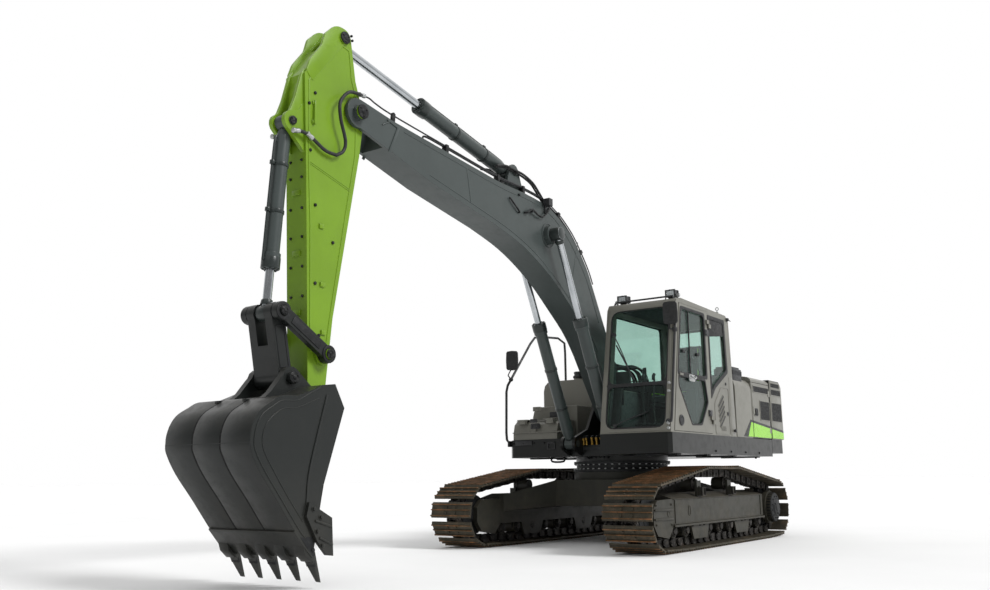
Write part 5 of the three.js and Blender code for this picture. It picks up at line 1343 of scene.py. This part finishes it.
def make_boom_hoses():
    """The arm cylinder's hoses and the hard lines on the boom's sides."""
    kit = Kit()
    for y in (88, -88, 112, -112):
        lift = 10 if abs(y) > 100 else 0
        kit.pipe([(3020, y, 4330 + lift), (2860, y * 1.1, 4368 + lift), (2700, y * 1.2, 4360 + lift),
                  (2520, y * 1.3, 4345 + lift), (2330, y * 1.35, 4300), (2210, y * 1.35, 4225),
                  (2050, y * 1.3, 4120), (1860, y * 1.25, 4030)], 13, 10, 6)
    hose = kit.done("arm_cylinder_hoses", None, RUBBER, "tube_black", 0)
    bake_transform(hose)
    for side in (1, -1):
        kit.lathe((2665, side * 170, 4067), (0, side, 0), [(15, -2), (15, 16), (8, 20)], 12)
        kit.pipe([(2855, side * 172, 3985), (2850, side * 190, 3962), (2685, side * 190, 3859),
                  (2680, side * 172, 3850)], 10, 10, 4)
        kit.pipe([(2560, side * 172, 3875), (2540, side * 205, 3880), (2429, side * 205, 3934),
                  (2300, side * 205, 3900), (2190, side * 205, 3905), (2050, side * 200, 4020),
                  (2020, side * 172, 4050)], 12, 10, 5)
        kit.lathe((2429, side * 170, 3925), (0, side, 0), [(22, -2), (22, 46), (14, 50)], 14)
    kit.done("boom_side_lines", "boom", BOLT, "tube_black", 0)


def make_arm_hoses():
    """The loops from the boom's pipes over the arm to the bucket cylinder, with their fittings."""
    kit = Kit()
    for side in (1, -1):
        kit.pipe([(5280, side * 150, 4398), (5390, side * 176, 4378), (5522, side * 200, 4334),
                  (5622, side * 200, 4211), (5612, side * 196, 4060), (5533, side * 186, 3863),
                  (5550, side * 176, 3760), (5625, side * 166, 3704)], 16, 12, 8)
    hose = kit.done("arm_hoses", None, RUBBER, "tube_black", 0)
    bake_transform(hose)
    for side in (1, -1):
        kit.pipe([(5625, side * 166, 3704), (5760, side * 158, 3715), (5935, side * 150, 3795),
                  (6040, side * 140, 3812), (6110, side * 126, 3792)], 16, 12, 8)
    kit.done("arm_hose_ends", "arm", RUBBER, "tube_black", 0)
    for name, body, spots in (("arm_fittings", "arm", ((6080, 134, 3805, (1, 0, -0.2)),
                                                       (5935, 150, 3795, (1, 0, 0.5)))),
                              ("boom_fittings", "boom", ((5290, 152, 4397, (1, 0, -0.1)),))):
        for x, y, z, along in spots:
            for side in (1, -1):
                kit.lathe((x, side * y, z), along, [(22, -34), (22, -6), (19, -4), (19, 22), (23, 24),
                                                    (23, 40)], 14)
        kit.done(name, body, SILVER, "chrome", 1)


def make_valve_hoses():
    """The row of fittings in front of the boom's foot, with a hose out of each end."""
    kit = Kit()
    for y, z in VALVE_ENDS:
        kit.lathe((690, y, z), (0.2, 0, 1), [(12, -56), (17, -52), (17, -26), (13, -22), (13, 14), (18, 16),
                                             (18, 44)], 12)
    kit.done("valve_fittings", "upper", BRASS, "chrome", 1.5)
    kit.prism(rounded(rect(610, 706, -206, 152), 20), 1182, 1212, "xy")
    for y, z in VALVE_ENDS:
        kit.pipe([(694, y, z + 38), (690, y, z + 52), (655, y, z + 64), (600, y * 0.97, z + 44),
                  (560, y * 0.95, z - 30), (540, y * 0.9, z - 120)], 13, 12, 8)
        kit.pipe([(684, y, z - 50), (678, y, z - 140), (600, y * 0.9, z - 210), (430, y * 0.8, z - 235)],
                 13, 12, 6)
    kit.done("valve_hoses", "upper", RUBBER, "tube_black", 0)


# Barrel, rod, foot pin, head pin, y, then the barrel's length and radius, the eye's radius and half width,
# the rod's radius, and how far the rod's hidden end reaches into the barrel.
CYLINDERS = (
    ("boom_barrel_left", "boom_rod_left", "F", "K", 300, 1650, 75, 78, 60, 42, 450),
    ("boom_barrel_right", "boom_rod_right", "F", "K", -300, 1650, 75, 78, 60, 42, 450),
    ("arm_barrel", "arm_rod", "G", "U", 0, 1670, 78, 75, 50, 45, 300),
    ("bucket_barrel", "bucket_rod", "BC", "D", 0, 1335, 66, 68, 50, 38, 0),
)


def make_cylinder_parts():
    """Clamps, gland, bolts and pipe on each barrel, each rod's eye and its hidden end in the barrel."""
    for barrel, rod, foot, head, y, length, outer, eye, half, rod_r, tail in CYLINDERS:
        a, b = Vector((PIN[foot][0], y, PIN[foot][1])), Vector((PIN[head][0], y, PIN[head][1]))
        along = (b - a).normalized()
        up = Vector((-along.z, 0, along.x))
        up = up if up.z > 0 or barrel == "bucket_barrel" else -up
        kit = Kit()
        for at in (0.3, 0.62):
            kit.lathe(a + along * length * at, along, [(outer + 2, -16), (outer + 7, -14), (outer + 7, 14),
                                                       (outer + 2, 16), (outer - 2, 16), (outer - 2, -16)],
                      24, ring=True)
            kit.lathe(a + along * length * at + up * (outer + 22), along, [(24, -16), (24, 16)], 12)
        kit.lathe(a + along * (length - 2), along, [(outer + 15, -96), (outer + 15, -2), (outer + 9, 1),
                                                    (rod_r + 12, 1), (rod_r + 8, 4), (rod_r + 2, 4),
                                                    (rod_r + 2, 0.5), (outer - 3, 0.5), (outer - 3, -96)],
                  32, ring=True)
        for right, rise in circle(0, 0, outer - 6, 8):
            kit.bolt(a + along * (length + 1) + Vector(OUTWARD) * right + up * rise, along, 8)
        start, end = a + along * 200, a + along * (length - 90)
        kit.pipe([start + up * (outer - 4), start + up * (outer + 20) + along * 30,
                  end + up * (outer + 22) - along * 60, end + up * (outer + 18),
                  end + up * (outer - 2) + along * 18], 12, 10, 6)
        kit.done(f"fittings_{barrel}", barrel, CYLINDER_GREY, "boom_paint", 1)
        kit.lathe(b, OUTWARD, [(eye - 6, -half - 1.5), (eye + 2, -half + 3), (eye + 2, half - 3),
                               (eye - 6, half + 1.5)], 36)
        kit.lathe(b - along * (eye + 44), along, [(rod_r + 1.5, -6), (rod_r + 10, 2), (rod_r + 16, 40)], 28)
        kit.done(f"eye_{rod}", rod, CYLINDER_GREY, "boom_paint", 1)
        if tail:
            kit.lathe(a + along * (length - 60), along, [(rod_r - 3, -tail - 60), (rod_r, -tail - 56),
                                                         (rod_r, 0), (rod_r - 2, 6)], 28)
            kit.done(f"tail_{rod}", rod, CHROME, "chrome", 0)


def link_sides(a, b, from_a, from_b, half):
    """A bar between two pins in the side view, short of each by a distance."""
    along = (b - a).normalized()
    across = Vector((-along.y, along.x)) * half
    start, end = a + along * from_a, b - along * from_b
    return [tuple(p) for p in (start + across, end + across, end - across, start - across)]


def make_link_parts():
    """Raised faces and eye rings on the guide links and the bucket link."""
    kit = Kit()
    d, a1, c = (Vector(PIN[name]) for name in ("D", "A1", "C"))
    for side in (1, -1):
        kit.prism(link_sides(a1, d, 120, 120, 34), side * 215, side * 222)
        for pin in (a1, d):
            kit.frame(*eye_ring(pin, 76, 48), side * 215, side * 224)
    kit.done("guide_link_ribs", "guide_links", CAST, "cast_parts", 2)
    for side in (1, -1):
        bar = link_sides(d, c, 110, 90, 50)
        kit.frame(bar, inset(bar, 9), side * 147, side * 152)
        kit.frame(*eye_ring(d, 78, 46), side * 147, side * 152.5)
    kit.done("bucket_link_ribs", "bucket_link", CAST, "cast_parts", 2)


WRAPPER = [(6110, 268), (6271, 431), (6472, 680), (6636, 874), (6726, 1012), (6759, 1106), (6738, 1234),
           (6675, 1339), (6565, 1411), (6466, 1462), (6320, 1473)]


FRONT_MOST = 6758.5   # just behind the front of the CAD's box


def ribbon(kit, path, t0, t1, y0, y1):
    """A plate that follows a path in the side view, between two distances off it."""
    fine = smooth_path(path, 5)
    inner, outer = ([(min(p.x, FRONT_MOST), p.y) for p in lifted(fine, -t)] for t in (t0, t1))
    rings = []
    for (ax, az), (bx, bz) in zip(inner, outer):
        rings.append(kit.ring_of([(ax, y0, az), (ax, y1, az), (bx, y1, bz), (bx, y0, bz)]))
    for a, b in zip(rings, rings[1:]):
        kit.bridge(a, b)
    kit.bm.faces.new(rings[0])
    kit.bm.faces.new(rings[-1])


TOOTH_PITCH = 220.8


def make_bucket_parts():
    """Wear bands, near-black strips painted as the shade in the gaps between them, rim beads, side cutters'
    bolts and the teeth's adapters.
    """
    kit = Kit()
    for y0, y1 in ((-BUCKET_SIDE, -174), (-156, 156), (174, BUCKET_SIDE)):
        ribbon(kit, WRAPPER, -6, 3, y0, y1)
    for y in (-165, 165):
        ribbon(kit, [(6350, 1475), (6466, 1466), (6565, 1415), (6660, 1352)], 3, 9, y - 92, y + 62)
    ribbon(kit, [(6097, 252), (6190, 345), (6290, 455)], 0, 15, -502, 502)
    kit.done("bucket_bands", "bucket", CHARCOAL, "bucket_paint", 1.5)
    # Near-black strips sunk between the wear bands: painted shade in the gaps.
    for y0, y1 in ((-176, -154), (154, 176)):
        ribbon(kit, WRAPPER, -6, 0.8, y0, y1)
    kit.done("bucket_seam_shade", "bucket", GAP_SHADE, "bucket_paint", 0)
    for y in (-185, 145):
        kit.prism(rect(6500, 6530, y - 24, y + 24), 1440, 1458, "xy")
    rim = [(6060, 1560), (6180, 1500), (6305, 1440), (6460, 1428), (6548, 1382), (6645, 1318), (6700, 1228),
           (6718, 1108), (6690, 1024), (6604, 896), (6444, 700), (6250, 462), (6180, 392)]
    inner = [(6075, 1470), (6300, 1385), (6440, 1370), (6530, 1322), (6596, 1262), (6632, 1190), (6640, 1108),
             (6612, 1030), (6520, 900), (6370, 705), (6215, 520)]
    strip = [(5990, 1500), (6090, 1160), (6165, 870), (6180, 640)]
    for side in (1, -1):
        for path, radius in ((rim, 6), (inner, 5)):
            kit.pipe([(x, side * 499.5, z) for x, z in path], radius, 6, 5)
        ribbon(kit, strip, -9, 9, side * BUCKET_SIDE, side * 507)
        for x, z in ((6128, 610), (6050, 545), (6085, 440), (6030, 330)):
            kit.bolt((x, side * 528, z), (0, side, 0), 17)
        for a, b in (((6110, 520), (5935, 470)), ((6060, 390), (5920, 330))):
            kit.rod((a[0], side * 528, a[1]), (b[0], side * 528, b[1]), 11, 8)
    kit.done("bucket_trim", "bucket", CHARCOAL, "bucket_paint", 1)
    humps = Kit()
    line = Vector((1, 1)).normalized()
    out = Vector((line.y, -line.x))
    root = Vector((6097, 252))
    for y in (TOOTH_PITCH * i for i in range(-2, 3)):
        hump = [root - line * 34 + out * 10, root - line * 20 + out * 38, root + line * 70 + out * 44,
                root + line * 130 + out * 16, root + line * 130 + out * 8, root + out * 6]
        humps.prism([tuple(p) for p in hump], y - 56, y + 56)
        kit.prism([(6232, 402), (6106, 398), (6078, 250), (6112, 262), (6150, 306)], y - 60, y + 60)
        kit.prism([(6086, 262), (6100, 262), (6060, 170), (6046, 178)], y - 45, y + 45)
        kit.lathe((6098, y - 66, 300), OUTWARD, [(16, 0), (16, 132), (12, 134)], 14)
        kit.prism([(6122, 268), (6136, 290), (6040, 150), (6028, 132)], y - 7, y + 7)
    kit.done("tooth_adapters", "bucket", CAST, "cast_parts", 4)
    humps.done("adapter_humps", "bucket", CHARCOAL, "bucket_paint", 5)


def make_seat():
    """A padded cloth cushion and backrest in place of the CAD's plain blocks, with a green cord."""
    for name, outline, half, cap in (("cushion", [(-90, 1755), (425, 1755), (442, 1828), (405, 1846),
                                                  (-82, 1830)], 236, 0.014),
                                     ("backrest", [(-115, 1762), (-106, 1870), (-160, 2524), (-208, 2543),
                                                   (-238, 2524), (-205, 1762)], 226, 0.018)):
        kit = Kit()
        kit.prism(rounded(outline, 22), CAB_Y - half, CAB_Y + half)
        pad = kit.done(f"seat_{name}_cloth", "upper", CLOTH, "seat_cloth", 12, 3)
        inflate(pad, cap)
        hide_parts(f"seat_{name}")
    for side in (1, -1):
        y = CAB_Y + side * 205
        kit.pipe([(-95, y, 1868), (0, y, 1874), (200, y, 1880), (380, y, 1880), (440, y, 1860)], 6, 8, 4)
        kit.pipe([(-72, y, 1900), (-90, y, 2000), (-118, y, 2300), (-134, y, 2480)], 6, 8, 4)
    kit.done("seat_cord", "upper", LIVERY, "trim", 0)


VOXEL, PRESSURE, FRAMES = 0.008, 4, 14


def inflate(obj, cap):
    """A short pressure run: the cover swells, no point moves more than the cap."""
    scene = bpy.context.scene
    bpy.ops.object.select_all(action="DESELECT")
    bpy.context.view_layer.objects.active = obj
    obj.select_set(True)
    remesh = obj.modifiers.new("remesh", "REMESH")
    remesh.mode, remesh.voxel_size = "VOXEL", VOXEL
    bpy.ops.object.modifier_apply(modifier="remesh")
    rest = [v.co.copy() for v in obj.data.vertices]
    puff = obj.modifiers.new("puff", "CLOTH")
    puff.settings.use_pressure = True
    puff.settings.uniform_pressure_force = PRESSURE
    puff.settings.effector_weights.gravity = 0
    puff.point_cache.frame_start, puff.point_cache.frame_end = 1, FRAMES
    for step in range(FRAMES):
        scene.frame_set(step + 1)
    swollen = obj.evaluated_get(bpy.context.evaluated_depsgraph_get()).to_mesh()
    moved = []
    for before, vertex in zip(rest, swollen.vertices):
        shift = vertex.co - before
        moved.append(before + shift * min(1.0, cap / max(shift.length, 1e-6)))
    obj.modifiers.remove(puff)
    for vertex, place in zip(obj.data.vertices, moved):
        vertex.co = place
    scene.frame_set(1)
    for polygon in obj.data.polygons:
        polygon.use_smooth = True


def make_front_corners():
    """Cover plates that round the corners of the cab's front opening."""
    kit = Kit()
    outer = rect(472, 1331, 1352, 2888)
    kit.frame(rounded(outer, 8), rounded(inset(outer, 34), 125), -4, 9, "front")
    kit.done("front_surround", "upper", TAUPE, "body_paint", 3)


make_seat()
make_front_corners()
make_pins()
make_arm_parts()
make_boom_parts()
make_foot_hoses()
make_boom_hoses()
make_arm_hoses()
make_valve_hoses()
make_cylinder_parts()
make_link_parts()
make_bucket_parts()


# ---------------------------------------------------------------- stage
BACKDROP = (-0.82, -0.55, 0.1)   # the bright half of the sky lies this way
FLOOR_HALF = 400
SUNS = (("key", (-50, 0, 12), 2.4, 20), ("fill", (35, 0, 100), 0.5, 60))   # name, turn, strength, width


def make_stage():
    """A pale floor, a sky that is brighter behind the machine, and two suns."""
    data = bpy.data.meshes.new("floor")
    corners = rect(-FLOOR_HALF, FLOOR_HALF, -FLOOR_HALF, FLOOR_HALF)
    data.from_pydata([(x, y, 0) for x, y in corners], [], [(0, 1, 2, 3)])
    floor = place("floor", data)
    floor.location.z = -0.0005
    n = Nodes("floor_pale")
    n.set("Base Color", n.mix(n.ramp(n.noise(0.6, 3), 0.3, 0.7), (0.8, 0.8, 0.8, 1), (0.83, 0.83, 0.83, 1)))
    n.set("Roughness", 0.9)
    data.materials.append(n.material)
    world = bpy.data.worlds.new("studio")
    bpy.context.scene.world = world
    world.use_nodes = True
    tree = world.node_tree
    direction = tree.nodes.new("ShaderNodeTexCoord").outputs["Generated"]
    facing = tree.nodes.new("ShaderNodeVectorMath")
    facing.operation = "DOT_PRODUCT"
    facing.inputs[1].default_value = BACKDROP
    tree.links.new(direction, facing.inputs[0])
    band = tree.nodes.new("ShaderNodeMapRange")
    for key, value in (("From Min", -0.15), ("From Max", 0.45), ("To Min", 0.3), ("To Max", 1.0)):
        band.inputs[key].default_value = value
    tree.links.new(facing.outputs["Value"], band.inputs[0])
    tree.links.new(band.outputs[0], tree.nodes["Background"].inputs["Strength"])
    tree.nodes["Background"].inputs["Color"].default_value = (1, 1, 1, 1)
    for name, turn, strength, angle in SUNS:
        sun = bpy.data.lights.new(name, "SUN")
        sun.energy, sun.angle = strength, math.radians(angle)
        place(name, sun).rotation_euler = [math.radians(v) for v in turn]


make_stage()
bpy.context.scene.view_settings.view_transform = "Standard"
